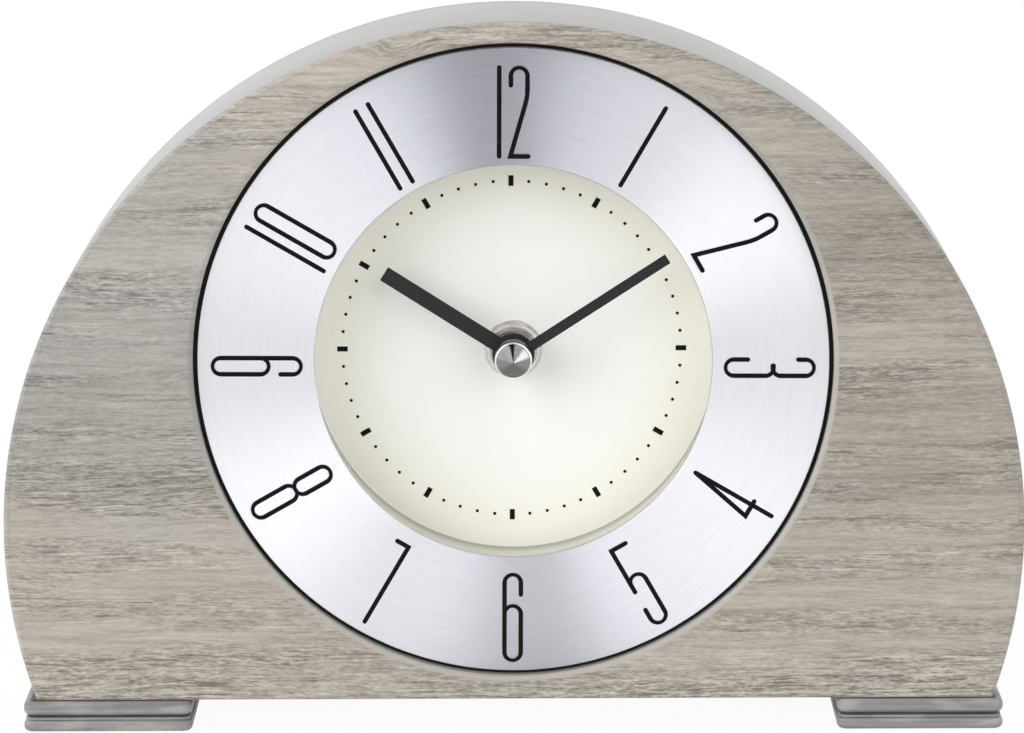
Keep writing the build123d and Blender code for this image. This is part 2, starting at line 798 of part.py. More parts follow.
def make_movement_cover():
    """Cover over the gear room, with pivot bosses, two latches and the hole of the setting arbor."""
    cover = plate(housing_outline(trough_top, housing_high), cover_front_y, movement_back_y)
    for place in arbor_centres:
        cover += bar(pivot_radius + boss_wall, pivot_y, cover_front_y, place)
        cover -= bar(pivot_radius + running_gap, pivot_y, cover_front_y, place)
    cover -= bar(setting_arbor_radius + running_gap, cover_front_y, movement_back_y, minute_wheel_at)
    tongue = Box(latch_thickness, latch_length, latch_width, align=(Align.MAX, Align.MAX, Align.CENTER))
    nib = Box(latch_nib, latch_nib, latch_width, align=(Align.MIN, Align.MIN, Align.CENTER))
    tongue += Pos(0, -latch_length, 0) * nib
    tongue = Pos(inner_half - fit_gap, cover_front_y, dial_z + latch_z) * tongue
    return cover + tongue + mirror(tongue, Plane.YZ)


def make_battery():
    """Cell in the trough: a can with a small nub at its positive end."""
    y = movement_front_y + trough_floor + battery_floor_gap + battery_radius
    end_x = inner_half - contact_thickness - seat_gap
    can = Cylinder(battery_radius, battery_length)
    can = chamfer(can.edges().filter_by(GeomType.CIRCLE), battery_radius / 10)
    nub = Cylinder(battery_nub_radius, battery_nub_length, align=(Align.CENTER, Align.CENTER, Align.MIN))
    cell = can + Pos(0, 0, battery_length / 2) * nub
    middle_x = end_x - battery_nub_length - battery_length / 2
    return Pos(middle_x, y, dial_z + battery_z) * Rot(0, 90, 0) * cell


def contact_plate():
    """Contact strip against an end wall of the trough, standing on the trough's floor."""
    low = movement_front_y + trough_floor
    return Box(contact_thickness, cover_front_y - low - fit_gap, contact_width,
               align=(Align.MIN, Align.MIN, Align.CENTER)), low


def make_positive_contact():
    """Flat contact at the nub's end."""
    strip, low = contact_plate()
    return Pos(inner_half - contact_thickness, low, dial_z + battery_z) * strip


def make_negative_contact():
    """Contact with a bowed leaf that presses on the flat end of the cell."""
    strip, low = contact_plate()
    room_depth = cover_front_y - low - fit_gap
    reach = 2 * inner_half - 2 * contact_thickness - 2 * seat_gap - cell_length
    root_x = contact_thickness / 2
    bow = ThreePointArc((root_x, leaf_inset), (reach, room_depth / 2), (root_x, room_depth - leaf_inset))
    leaf_side = bow.offset_2d(contact_thickness, side=Side.RIGHT, closed=True)
    leaf = extrude(make_face(leaf_side), amount=leaf_width / 2, both=True)
    return Pos(-inner_half, low, dial_z + battery_z) * (strip + leaf)


# Hands

def hand(length, width, eye_radius, hole_radius, clock_angle):
    """Flat bar hand with a round eye; the angle runs clockwise from twelve."""
    outline = Rectangle(width, length, align=(Align.CENTER, Align.MIN)) + Circle(eye_radius)
    outline -= Circle(hole_radius + seat_gap)
    return Pos(0, dial_z) * Rot(0, 0, -clock_angle) * outline


def make_hour_hand():
    """Hour hand on the hour tube."""
    outline = hand(hour_hand_length, hour_hand_width, hour_eye_radius, hour_tube_radius, hour_hand_angle)
    return plate(outline, hour_hand_y - hand_thickness, hour_hand_y)


def make_minute_hand():
    """Minute hand against the shoulder of the minute arbor."""
    outline = hand(minute_hand_length, minute_hand_width, minute_eye_radius, minute_thread_radius,
                   minute_hand_angle)
    return plate(outline, minute_hand_y - hand_thickness, minute_hand_y)


def make_cap_nut():
    """Turned cap with a shallow cone that clamps the minute hand."""
    back = minute_hand_y - hand_thickness
    skirt = back - cap_skirt
    tip = skirt - cap_cone
    bore = minute_thread_radius + seat_gap
    bottom = back - cap_thread_length - seat_gap
    return turned([(0, tip), (cap_point_radius, tip), (cap_radius, skirt), (cap_radius, back),
                   (bore, back), (bore, bottom), (0, bottom)])


nodes = {
    "front_board": make_front_board(),
    "arch_rim": make_arch_rim(),
    "edge_band": make_edge_band(),
    "base_board": make_base_board(),
    "back_panel": make_back_panel(),
    "back_posts": make_back_posts(),
    "back_screws": make_back_screws(),
    "left_foot": make_foot(-1),
    "right_foot": make_foot(1),
    "foot_screws": make_foot_screws(),
    "dial_frame": make_dial_frame(),
    "frame_screws": make_frame_screws(),
    "dial_cup": make_dial_cup(),
    "chapter_ring": make_chapter_ring(),
    "rubber_washer": make_rubber_washer(),
    "dial_washer": make_dial_washer(),
    "mounting_nut": make_mounting_nut(),
    "threaded_bushing": make_threaded_bushing(),
    "movement_case": make_movement_case(),
    "movement_cover": make_movement_cover(),
    "circuit_board": make_circuit_board(),
    "quartz_crystal": make_quartz_crystal(),
    "stator": make_stator(),
    "coil_core": make_coil_core(),
    "coil_bobbin": make_coil_bobbin(),
    "coil_winding": make_coil_winding(),
    "rotor": make_rotor(),
    "intermediate_wheel": make_intermediate_wheel(),
    "second_wheel": make_second_wheel(),
    "third_wheel": make_third_wheel(),
    "centre_wheel": make_centre_wheel(),
    "minute_arbor": make_minute_arbor(),
    "minute_wheel": make_minute_wheel(),
    "hour_wheel": make_hour_wheel(),
    "setting_knob": make_setting_knob(),
    "battery": make_battery(),
    "positive_contact": make_positive_contact(),
    "negative_contact": make_negative_contact(),
    "hour_hand": make_hour_hand(),
    "minute_hand": make_minute_hand(),
    "cap_nut": make_cap_nut(),
}

os.makedirs("parts", exist_ok=True)
for name, shape in nodes.items():
    export_step(shape, f"parts/{name}.step")
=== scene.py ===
import bmesh
import bpy
import json
from bmesh.types import BMEdge, BMFace, BMVert
from math import asin, cos, pi, radians, sin, sqrt
from mathutils import Matrix, Vector


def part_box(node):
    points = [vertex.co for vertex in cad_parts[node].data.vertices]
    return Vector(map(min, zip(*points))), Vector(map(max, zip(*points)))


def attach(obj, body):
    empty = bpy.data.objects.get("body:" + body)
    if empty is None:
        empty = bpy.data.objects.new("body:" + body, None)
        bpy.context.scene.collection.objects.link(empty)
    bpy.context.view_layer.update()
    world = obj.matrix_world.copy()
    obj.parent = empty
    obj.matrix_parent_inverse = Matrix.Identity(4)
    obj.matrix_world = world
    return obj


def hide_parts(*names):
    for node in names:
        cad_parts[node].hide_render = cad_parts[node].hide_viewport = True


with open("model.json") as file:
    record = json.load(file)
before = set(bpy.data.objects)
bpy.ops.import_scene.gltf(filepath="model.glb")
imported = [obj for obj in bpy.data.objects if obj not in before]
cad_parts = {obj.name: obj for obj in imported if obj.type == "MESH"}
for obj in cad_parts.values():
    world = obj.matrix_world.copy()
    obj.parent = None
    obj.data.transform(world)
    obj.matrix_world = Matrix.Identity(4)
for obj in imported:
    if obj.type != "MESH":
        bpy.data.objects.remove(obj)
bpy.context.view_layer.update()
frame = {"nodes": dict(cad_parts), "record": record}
mm = 0.001


# Studio: the clock stands on a pale floor in a pale room, in soft light from a panel at the
# left and a broad one above the camera, with a dim, bluish gap straight ahead. What shiny
# metal mirrors has levels of its own. The camera stands a little above the dial.
scene = bpy.context.scene
scene.view_settings.view_transform = "Standard"
camera_distance = 1187.4 * mm
camera_height_angle = radians(9.926)
camera_side_angle = radians(0.11)
camera_roll = radians(-0.23)
camera_target = Vector((-0.36, 0.0, 82.75)) * mm
picture_width = 1024
focal_pixels = 4975.8

camera = bpy.data.objects.new("camera", bpy.data.cameras.new("camera"))
scene.collection.objects.link(camera)
to_camera = Vector((sin(camera_side_angle) * cos(camera_height_angle),
                    -cos(camera_side_angle) * cos(camera_height_angle),
                    sin(camera_height_angle)))
camera.matrix_world = (Matrix.Translation(camera_target + to_camera * camera_distance)
                       @ to_camera.to_track_quat("Z", "Y").to_matrix().to_4x4()
                       @ Matrix.Rotation(camera_roll, 4, "Z"))
camera.data.sensor_width = 36.0
camera.data.lens = camera.data.sensor_width * focal_pixels / picture_width
camera.data.clip_start = 0.05
camera.data.clip_end = 20.0
scene.camera = camera


def paint(red, green, blue):
    """Colour as a screen shows it, turned into the linear values that a shader takes."""
    return tuple(((c / 255 + 0.055) / 1.055) ** 2.4 for c in (red, green, blue)) + (1.0,)


def add(tree, kind, inputs=None, **settings):
    """Shader node with its settings; each input is a value or another node's output."""
    node = tree.nodes.new("ShaderNode" + kind)
    for name, value in settings.items():
        setattr(node, name, value)
    for key, value in (inputs or {}).items():
        if isinstance(value, bpy.types.NodeSocket):
            tree.links.new(value, node.inputs[key])
        else:
            node.inputs[key].default_value = value
    return node


def maths(tree, operation, *values):
    """Result of one sum on numbers or outputs."""
    return add(tree, "Math", dict(enumerate(values)), operation=operation).outputs[0]


def mix(tree, share, first, second, blend="MIX"):
    """Two colours mixed by a share."""
    return add(tree, "Mix", {0: share, 6: first, 7: second}, data_type="RGBA", blend_type=blend).outputs[2]


def spread(tree, value, low, high, to_low=0.0, to_high=1.0):
    """Value eased from one range to another and held at its ends."""
    return add(tree, "MapRange", {0: value, 1: low, 2: high, 3: to_low, 4: to_high},
               interpolation_type="SMOOTHSTEP").outputs[0]


def slant(tree, first, second):
    """Length of the slanting way that goes so far one way and so far square to it."""
    squares = [maths(tree, "MULTIPLY", way, way) for way in (first, second)]
    return maths(tree, "SQRT", maths(tree, "ADD", *squares))


front_light = 0.79
back_light = 1.10
key_light = 1.65
fill_light = 1.27
key_from = Vector((-1.56, -0.66, 0.70)).normalized()
fill_from = Vector((0.06, -0.88, 0.59)).normalized()
ceiling_loss = 0.73
mirror_level = 1.43
mirror_key = 0.46
mirror_from = Vector((-0.72, -0.66, 0.36)).normalized()
mirror_left = -0.29
mirror_right = 0.42
mirror_fan = 2.0
fan_from = Vector((0.84, -0.38, 0.38)).normalized()
gap_level = 0.02
gap_lean = 0.084
gap_tint = paint(160, 176, 246)
white = paint(255, 255, 255)
world = bpy.data.worlds.new("studio")
scene.world = world
world.use_nodes = True
tree = world.node_tree
tree.nodes.clear()
sight = add(tree, "TexCoord").outputs["Generated"]
axes = add(tree, "SeparateXYZ", {0: sight}).outputs


def panel(towards, edge, core):
    """Share of a soft panel's light that comes from each direction round its own."""
    facing = add(tree, "VectorMath", {0: sight, 1: towards}, operation="DOT_PRODUCT").outputs["Value"]
    return spread(tree, facing, edge, core)


room = spread(tree, axes[1], -0.2, 0.4, front_light, back_light)
room = maths(tree, "MULTIPLY_ADD", panel(key_from, 0.70, 0.90), key_light, room)
room = maths(tree, "MULTIPLY_ADD", panel(fill_from, 0.35, 0.95), fill_light, room)
room = maths(tree, "MULTIPLY", room, spread(tree, axes[2], 0.3, 0.9, 1.0, 1.0 - ceiling_loss))
mirrored = maths(tree, "MULTIPLY_ADD", panel(mirror_from, 0.35, 0.97), mirror_key, mirror_level)
mirrored = maths(tree, "ADD", mirrored, spread(tree, axes[0], -0.85, -0.55, mirror_left, 0.0))
mirrored = maths(tree, "ADD", mirrored, spread(tree, axes[0], 0.55, 0.80, 0.0, mirror_right))
mirrored = maths(tree, "MULTIPLY_ADD", panel(fan_from, 0.92, 0.985), mirror_fan, mirrored)
path = add(tree, "LightPath").outputs
seen = path["Is Camera Ray"]
room = add(tree, "Mix", {0: path["Is Glossy Ray"], 2: room, 3: mirrored}).outputs[0]
ahead = spread(tree, maths(tree, "MULTIPLY", axes[1], -1.0), 0.0, 0.4)
lean = maths(tree, "MULTIPLY_ADD", axes[2], gap_lean, gap_lean * sin(camera_height_angle))
across = maths(tree, "ABSOLUTE", maths(tree, "ADD", axes[0], lean))
gap = maths(tree, "MULTIPLY", ahead, spread(tree, across, 0.048, 0.29, 1.0, 0.0))
room = maths(tree, "MULTIPLY", room, spread(tree, gap, 0.0, 1.0, 1.0, gap_level))
level = add(tree, "Mix", {0: seen, 2: room, 3: 1.0}).outputs[0]
tinted = maths(tree, "MULTIPLY", gap, spread(tree, axes[2], 0.45, 0.80, 1.0, 0.0))
tint = mix(tree, seen, mix(tree, tinted, white, gap_tint), white)
backdrop = add(tree, "Background", {"Color": tint, "Strength": level})
tree.links.new(backdrop.outputs[0], add(tree, "OutputWorld").inputs["Surface"])

# Floor: plain to the eye, but shiny metal sees a dim runner ahead, which shades the ring at
# twelve, a dim strip along the feet, which shades the cap's lower half, and a lit patch between.
floor_half = 3.0
floor_drop = 0.2 * mm
floor_whiteness = 0.92
floor_glow = 1.03
floor_shine = 1.14
floor_dim = 0.03
floor_lit = 1.1
runner_start = 0.15
runner_full = 0.30
strip_middle = 0.045
strip_half = 0.032
strip_stretch = 7.0
strip_share = 0.6
floor_mat = bpy.data.materials.new("pale_floor")
floor_mat.use_nodes = True
tree = floor_mat.node_tree
tree.nodes.clear()
axes = add(tree, "SeparateXYZ", {0: add(tree, "TexCoord").outputs["Object"]}).outputs
before = maths(tree, "MULTIPLY", axes[1], -1.0)
runner_half = maths(tree, "MAXIMUM", maths(tree, "MULTIPLY_ADD", before, 0.05, 0.026), 0.01)
beside = maths(tree, "ABSOLUTE", maths(tree, "MULTIPLY_ADD", before, -0.041, axes[0]))
runner = spread(tree, maths(tree, "DIVIDE", beside, runner_half), 0.56, 1.0, 1.0, 0.0)
runner = maths(tree, "MULTIPLY", runner, spread(tree, before, runner_start, runner_full))
near = slant(tree, maths(tree, "DIVIDE", axes[0], strip_stretch),
             maths(tree, "SUBTRACT", before, strip_middle))
dimmed = maths(tree, "MAXIMUM", runner, spread(tree, near, 0.0, strip_half, strip_share, 0.0))
lit = spread(tree, before, 0.12, 0.20, floor_lit, 0.0)
lit = maths(tree, "MULTIPLY", lit, spread(tree, before, 0.065, 0.085))
lit = maths(tree, "MULTIPLY", lit, spread(tree, beside, 0.02, 0.05, 1.0, 0.0))
path = add(tree, "LightPath").outputs
plain = maths(tree, "MAXIMUM", path["Is Camera Ray"], path["Is Glossy Ray"])
plain = maths(tree, "MAXIMUM", plain, path["Is Transmission Ray"])
shine = maths(tree, "ADD", spread(tree, dimmed, 0.0, 1.0, floor_shine, floor_dim), lit)
glow = add(tree, "Mix", {0: path["Is Glossy Ray"], 2: floor_glow, 3: shine}).outputs[0]
glow_tint = mix(tree, maths(tree, "MULTIPLY", runner, path["Is Glossy Ray"]), white, gap_tint)
paper = add(tree, "BsdfDiffuse", {"Color": paint(240, 240, 240)})
glow = add(tree, "Emission", {"Color": glow_tint, "Strength": glow})
surface = add(tree, "MixShader", {0: maths(tree, "MULTIPLY", plain, floor_whiteness),
                                  1: paper.outputs[0], 2: glow.outputs[0]})
tree.links.new(surface.outputs[0], add(tree, "OutputMaterial").inputs["Surface"])
bm = bmesh.new()
bmesh.ops.create_grid(bm, x_segments=1, y_segments=1, size=floor_half,
                      matrix=Matrix.Translation((0, 0, -floor_drop)))
floor_mesh = bpy.data.meshes.new("floor")
bm.to_mesh(floor_mesh)
bm.free()
floor_mesh.materials.append(floor_mat)
floor = bpy.data.objects.new("floor", floor_mesh)
scene.collection.objects.link(floor)


# Front board: a thick board sawn to the arch, with a round dial opening whose front edge
# is rounded over, faced with a weathered grey oak grain that runs from side to side and
# finished with a thin satin lacquer.
board_low, board_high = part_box("front_board")
front_y = board_low.y
board_back_y = board_high.y
case_bottom = board_low.z
board_radius = board_high.x
arch_z = board_high.z - board_radius
ring_low, ring_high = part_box("chapter_ring")
dial_z = (ring_low.z + ring_high.z) / 2
opening_radius = 75.0 * mm
lip_round = 1.25 * mm
lip_segments = 10
lip_margin = 0.3 * mm
lip_fade = 0.25 * mm
band_joint = 0.03 * mm
touching = 1e-7
round_steps = 192
arch_steps = 320


def finish(name, roughness=0.5, metallic=0.0, specular=0.5):
    """New material with its own shader, and the piece's own coordinates in metres."""
    mat = bpy.data.materials.new(name)
    mat.use_nodes = True
    tree = mat.node_tree
    shader = tree.nodes["Principled BSDF"]
    shader.inputs["Roughness"].default_value = roughness
    shader.inputs["Metallic"].default_value = metallic
    shader.inputs["Specular IOR Level"].default_value = specular
    place = add(tree, "TexCoord").outputs["Object"]
    return mat, tree, shader.inputs, place


def grain(tree, place, counts, detail=2.0, roughness=0.5, shift=0.0):
    """Noise with so many features to the metre along X, Y and Z, which draws it out into grain."""
    stretched = add(tree, "Mapping", {"Vector": place, "Location": (shift, shift, shift), "Scale": counts})
    return add(tree, "TexNoise", {"Vector": stretched.outputs[0], "Scale": 1.0, "Detail": detail,
                                  "Roughness": roughness}).outputs[0]


def relief(tree, inputs, height, depth, strength=1.0):
    """Bump of a given depth from a height pattern."""
    bump = add(tree, "Bump", {"Height": height, "Distance": depth, "Strength": strength})
    tree.links.new(bump.outputs[0], inputs["Normal"])


def turned(profile, centre_z, closed=True, steps=round_steps):
    """Form turned about an axis along the depth, from points of (radius, y)."""
    bm = bmesh.new()
    verts = [bm.verts.new((radius, y, 0.0)) for radius, y in profile]
    ends = verts[1:] + verts[:1] if closed else verts[1:]
    edges = [bm.edges.new(pair) for pair in zip(verts, ends)]
    bmesh.ops.spin(bm, geom=verts + edges, cent=(0, 0, 0), axis=(0, 1, 0), angle=2 * pi,
                   steps=steps, use_merge=True)
    bmesh.ops.remove_doubles(bm, verts=bm.verts, dist=touching)
    bmesh.ops.translate(bm, verts=bm.verts, vec=(0, 0, centre_z))
    bmesh.ops.recalc_face_normals(bm, faces=bm.faces)
    return bm


def corner(centre_r, centre_y, size, start, end, segments=6):
    """Points of (radius, y) along a rounded corner; angles run from the axis's side, 0 facing the front."""
    angles = [radians(start + (end - start) * i / segments) for i in range(segments + 1)]
    return [(centre_r + size * sin(a), centre_y - size * cos(a)) for a in angles]


def picked(geom, kind):
    """Those parts of a mesh operator's result that are of one kind."""
    return [g for g in geom if isinstance(g, kind)]


def thicken(bm, depth):
    """Give flat faces a thickness along the depth of the clock."""
    raised = bmesh.ops.extrude_face_region(bm, geom=bm.faces[:], use_keep_orig=True)["geom"]
    bmesh.ops.translate(bm, verts=picked(raised, BMVert), vec=(0, depth, 0))
    bmesh.ops.recalc_face_normals(bm, faces=bm.faces)


def join(into, bm):
    """Add a mesh to another one and free it."""
    mesh = bpy.data.meshes.new("joined")
    bm.to_mesh(mesh)
    bm.free()
    into.from_mesh(mesh)
    bpy.data.meshes.remove(mesh)


def arch_face(bm, radius, y):
    """Flat arch outline, level along the bottom of the case."""
    stand = Matrix.Translation((0, y, arch_z)) @ Matrix.Rotation(pi / 2, 4, "X")
    made = bmesh.ops.create_circle(bm, cap_ends=True, segments=arch_steps, radius=radius, matrix=stand)
    face = made["verts"][0].link_faces[0]
    cut = bmesh.ops.bisect_plane(bm, geom=list(face.verts) + list(face.edges) + [face],
                                 plane_co=(0, 0, case_bottom), plane_no=(0, 0, 1), clear_inner=True)
    return next(f for f in picked(cut["geom"], BMFace) if f.is_valid)


def piece(name, bm, mats, body, slot, *nodes, crease=30):
    """Finished object from a mesh, riding on a body and standing for the nodes that it replaces."""
    mesh = bpy.data.meshes.new(name)
    bm.to_mesh(mesh)
    bm.free()
    for mat in mats:
        mesh.materials.append(mat)
    mesh.shade_smooth()
    mesh.set_sharp_from_angle(angle=radians(crease))
    thing = bpy.data.objects.new(name, mesh)
    scene.collection.objects.link(thing)
    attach(thing, body)
    if nodes:
        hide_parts(*nodes)
    return thing


def weathered_oak():
    """Grey oak print: bands of crisp short streaks between calm beige ones, greyest at the upper left.

    The rounded lip of the dial opening is coloured grey below the top, as a plain edge past the print, with
    painted light: darker high up and at the left, palest low down and at the right, where the rounding faces
    the light.
    """
    mat, tree, inputs, place = finish("weathered_oak", roughness=0.5, specular=0.35)
    axes = add(tree, "SeparateXYZ", {0: place}).outputs

    def away(x, z):
        """Distance from a spot on the face."""
        spot = add(tree, "CombineXYZ", {0: x, 1: axes[1], 2: z}).outputs[0]
        return add(tree, "VectorMath", {0: place, 1: spot}, operation="DISTANCE").outputs["Value"]

    def shift_tone(tone, pattern, weight):
        """Tone moved up or down by a pattern about its middle."""
        return maths(tree, "MULTIPLY_ADD", maths(tree, "SUBTRACT", pattern, 0.5), weight, tone)

    wander = grain(tree, place, (8, 8, 20), detail=3.0)
    lift = maths(tree, "MULTIPLY", maths(tree, "SUBTRACT", wander, 0.5), 10 * mm)
    for x, z, size, push in ((-0.027, 0.1615, 0.010, 0.0030), (0.041, 0.1535, 0.009, -0.0025)):
        lift = maths(tree, "ADD", lift, spread(tree, away(x, z), 0.0, size, push, 0.0))
    run = add(tree, "CombineXYZ", {0: axes[0], 1: axes[1], 2: maths(tree, "ADD", axes[2], lift)}).outputs[0]
    zones = grain(tree, run, (5, 5, 34), detail=2.0, shift=6.4)
    bands = grain(tree, run, (9, 9, 105), detail=3.0, roughness=0.55, shift=3.1)
    lines = grain(tree, run, (32, 32, 640), detail=3.0, roughness=0.6, shift=5.7)
    streaks = grain(tree, run, (180, 180, 2000), detail=3.0, roughness=0.65, shift=1.9)
    ticks = grain(tree, run, (600, 600, 2700), detail=2.0, roughness=0.6, shift=12.4)
    cracks = grain(tree, run, (52, 52, 1700), detail=2.0, roughness=0.5, shift=15.3)
    flecks = grain(tree, run, (80, 80, 1700), detail=2.0, roughness=0.5, shift=19.8)
    stains = grain(tree, run, (18, 18, 130), detail=3.0, shift=8.3)
    left_side = spread(tree, axes[0], -0.06, -0.02, 1.0, 0.0)
    left_high = spread(tree, axes[2], 0.086, 0.104)
    left_band = maths(tree, "SUBTRACT", spread(tree, axes[2], 0.040, 0.054), left_high)
    left_band = maths(tree, "MULTIPLY", left_band, left_side)
    lively = maths(tree, "MULTIPLY_ADD", left_band, 0.08, bands)
    busy = spread(tree, lively, 0.44, 0.62)
    base_line = spread(tree, axes[2], 0.010, 0.022, 0.8, 0.0)
    share = maths(tree, "ADD", spread(tree, busy, 0.0, 1.0, 0.58, 1.35), base_line)
    crisp = maths(tree, "ADD", spread(tree, busy, 0.0, 1.0, 0.15, 1.0), base_line)
    right_side = spread(tree, axes[0], 0.03, 0.09)
    right_shade = maths(tree, "ADD", spread(tree, axes[2], 0.020, 0.045, 0.0, 0.14),
                        spread(tree, axes[2], 0.09, 0.12, 0.0, 0.06))
    left_shade = maths(tree, "ADD", spread(tree, axes[2], 0.040, 0.054, -0.09, 0.06),
                       spread(tree, left_high, 0.0, 1.0, 0.0, -0.14))
    shade = maths(tree, "MULTIPLY", right_side, right_shade)
    shade = maths(tree, "MULTIPLY_ADD", left_side, left_shade, shade)
    shade = maths(tree, "MULTIPLY_ADD", base_line, 0.08, shade)
    tone = shift_tone(maths(tree, "SUBTRACT", 0.55, shade), lines, 0.75)
    tone = shift_tone(tone, bands, -0.7)
    tone = shift_tone(tone, zones, -0.5)
    tone = shift_tone(tone, streaks, share)
    tone = shift_tone(tone, ticks, share)
    crack = maths(tree, "MULTIPLY", spread(tree, cracks, 0.58, 0.65), crisp)
    fleck = maths(tree, "MULTIPLY", spread(tree, flecks, 0.59, 0.67), crisp)
    tone = maths(tree, "MULTIPLY_ADD", crack, -0.38, tone)
    tone = maths(tree, "MULTIPLY_ADD", fleck, 0.26, tone)
    # Painted shade: the face is darkened along its bottom 0.4 mm, where its arris turns down towards the
    # feet.
    bottom_edge_painted_shade = spread(tree, axes[2], case_bottom, case_bottom + 0.4 * mm, 0.35, 1.0)
    tone = maths(tree, "MULTIPLY", tone, bottom_edge_painted_shade)
    tone = add(tree, "Clamp", {0: tone}).outputs[0]
    warmth = shift_tone(spread(tree, away(-0.095, 0.105), 0.015, 0.085), stains, 1.7)
    warmth = add(tree, "Clamp", {0: warmth}).outputs[0]
    dark = mix(tree, warmth, paint(114, 113, 107), paint(125, 119, 108))
    pale = mix(tree, warmth, paint(201, 196, 189), paint(208, 199, 188))
    # Painted light on the lip: its grey runs from darker high up and at the left to palest low down and at
    # the right.
    lower = maths(tree, "MULTIPLY_ADD", axes[0], 0.35, maths(tree, "SUBTRACT", dial_z, axes[2]))
    lip_edge = opening_radius + lip_round
    on_lip = spread(tree, away(0.0, dial_z), lip_edge - lip_fade, lip_edge, 0.85, 0.0)
    grey_lip_share = maths(tree, "MULTIPLY", on_lip, spread(tree, lower, -60 * mm, -15 * mm))
    lip_grey_with_painted_light = mix(tree, spread(tree, lower, -35 * mm, 22 * mm), paint(153, 151, 147), paint(183, 178, 171))
    colour = mix(tree, grey_lip_share, mix(tree, tone, dark, pale), lip_grey_with_painted_light)
    tree.links.new(colour, inputs["Base Color"])
    relief(tree, inputs, tone, 0.05 * mm, 0.4)
    return mat


lip = corner(opening_radius + lip_round, front_y + lip_round, lip_round, 0, -90, lip_segments)
bm = turned([(opening_radius + lip_round + lip_margin, front_y)] + lip + [(opening_radius, board_back_y)],
            dial_z, closed=False)
face_hole = [e for e in bm.edges if e.is_boundary and e.verts[0].co.y < (front_y + board_back_y) / 2]
back_hole = [e for e in bm.edges if e.is_boundary and e not in face_hole]
outline = arch_face(bm, board_radius - band_joint, front_y)
rim = list(outline.edges)
bmesh.ops.delete(bm, geom=[outline], context="FACES_ONLY")
wall = bmesh.ops.extrude_edge_only(bm, edges=rim)["geom"]
bmesh.ops.translate(bm, verts=picked(wall, BMVert), vec=(0, board_back_y - front_y, 0))
back_rim = [e for e in picked(wall, BMEdge)
            if all(abs(v.co.y - board_back_y) < touching for v in e.verts)]
bmesh.ops.triangle_fill(bm, use_beauty=True, edges=face_hole + rim, normal=(0, -1, 0))
bmesh.ops.triangle_fill(bm, use_beauty=True, edges=back_hole + back_rim, normal=(0, 1, 0))
bmesh.ops.recalc_face_normals(bm, faces=bm.faces)
oak = weathered_oak()
piece("front_board_face", bm, [oak], "case", "grained_face", "front_board")


# Edge band: a thin smooth strip glued round the arch over the edges of the board and of
# the rim, with both arrises eased. It is painted a pale grey with faint lengthwise streaks and
# darkened towards its back edge with a painted shade, and the oak print of the face runs over its front
# arris.
band_low, band_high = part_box("edge_band")
band_radius = band_high.x
band_round = 1.0 * mm


def round_about(tree, axes, centre_z):
    """Coordinates of (turn, depth, radius) about an axis along the depth."""
    height = maths(tree, "SUBTRACT", axes[2], centre_z)
    turn = maths(tree, "ARCTAN2", axes[0], height)
    return add(tree, "CombineXYZ", {0: turn, 1: axes[1], 2: slant(tree, axes[0], height)}).outputs[0]


def streaked_grey(name, ground, streak, roughness=0.42, counts=(4.0, 900.0, 900.0)):
    """Smooth grey paint with faint streaks that follow the arch, darkened towards its back edge with a
    painted shade.
    """
    mat, tree, inputs, place = finish(name, roughness=roughness, specular=0.45)
    axes = add(tree, "SeparateXYZ", {0: place}).outputs
    along = round_about(tree, axes, arch_z)
    lines = grain(tree, along, counts, detail=4.0, roughness=0.6)
    clouds = grain(tree, along, (9.0, 60.0, 60.0), detail=2.0, shift=4.2)
    colour = mix(tree, spread(tree, lines, 0.32, 0.68), streak, ground)
    colour = mix(tree, spread(tree, clouds, 0.35, 0.75, 0.0, 0.35), colour, streak)
    # Painted shade: the colour darkens towards the band's back edge.
    back_edge_painted_shade = spread(tree, axes[1], band_high.y - 8 * mm, band_high.y - 1 * mm, 0.0, 0.75)
    colour = mix(tree, back_edge_painted_shade, colour, paint(150, 148, 146))
    tree.links.new(colour, inputs["Base Color"])
    relief(tree, inputs, lines, 0.02 * mm, 0.4)
    return mat


ease = band_radius - band_round
section = corner(ease, band_low.y + band_round, band_round, 0, 90)
section += corner(ease, band_high.y - band_round, band_round, 90, 180)
section = [(board_radius, band_low.y)] + section + [(board_radius, band_high.y)]
bm = turned(section, arch_z, steps=arch_steps)
bmesh.ops.bisect_plane(bm, geom=bm.verts[:] + bm.edges[:] + bm.faces[:], plane_co=(0, 0, case_bottom),
                       plane_no=(0, 0, 1), clear_inner=True)
bmesh.ops.holes_fill(bm, edges=[e for e in bm.edges if e.is_boundary])
bmesh.ops.recalc_face_normals(bm, faces=bm.faces)
for face in bm.faces:
    if face.calc_center_median().y < band_low.y + band_round * 0.6:
        face.material_index = 1
band_paint = streaked_grey("band_grey", paint(174, 173, 170), paint(162, 160, 157))
piece("arch_edge_band", bm, [band_paint, oak], "case", "edge_finish", "edge_band")


# Feet: two short lengths of stepped moulding screwed under the base board, with a bead, a
# groove, a small step and a lower bead, sprayed a darker mauve grey over wood. The layers set
# back in the groove and under the top bead are coloured near black, a painted shade.
foot_corner = 2.4 * mm
foot_bead_round = 1.2 * mm
foot_end = 0.8 * mm
left_foot_reach = 0.65 * mm
# A coat of 1 is the near-black painted shade of the layers set back in the groove and under the top bead.
foot_layers = (  # bottom, top and inset in mm, whether it is a bead, and its coat
    (7.15, 7.5, 1.7, False, 1),
    (4.0, 7.2, 0.0, True, 0),
    (2.7, 5.2, 1.1, False, 1),
    (2.9, 3.4, 0.55, False, 0),
    (0.0, 2.8, 0.0, True, 0),
)


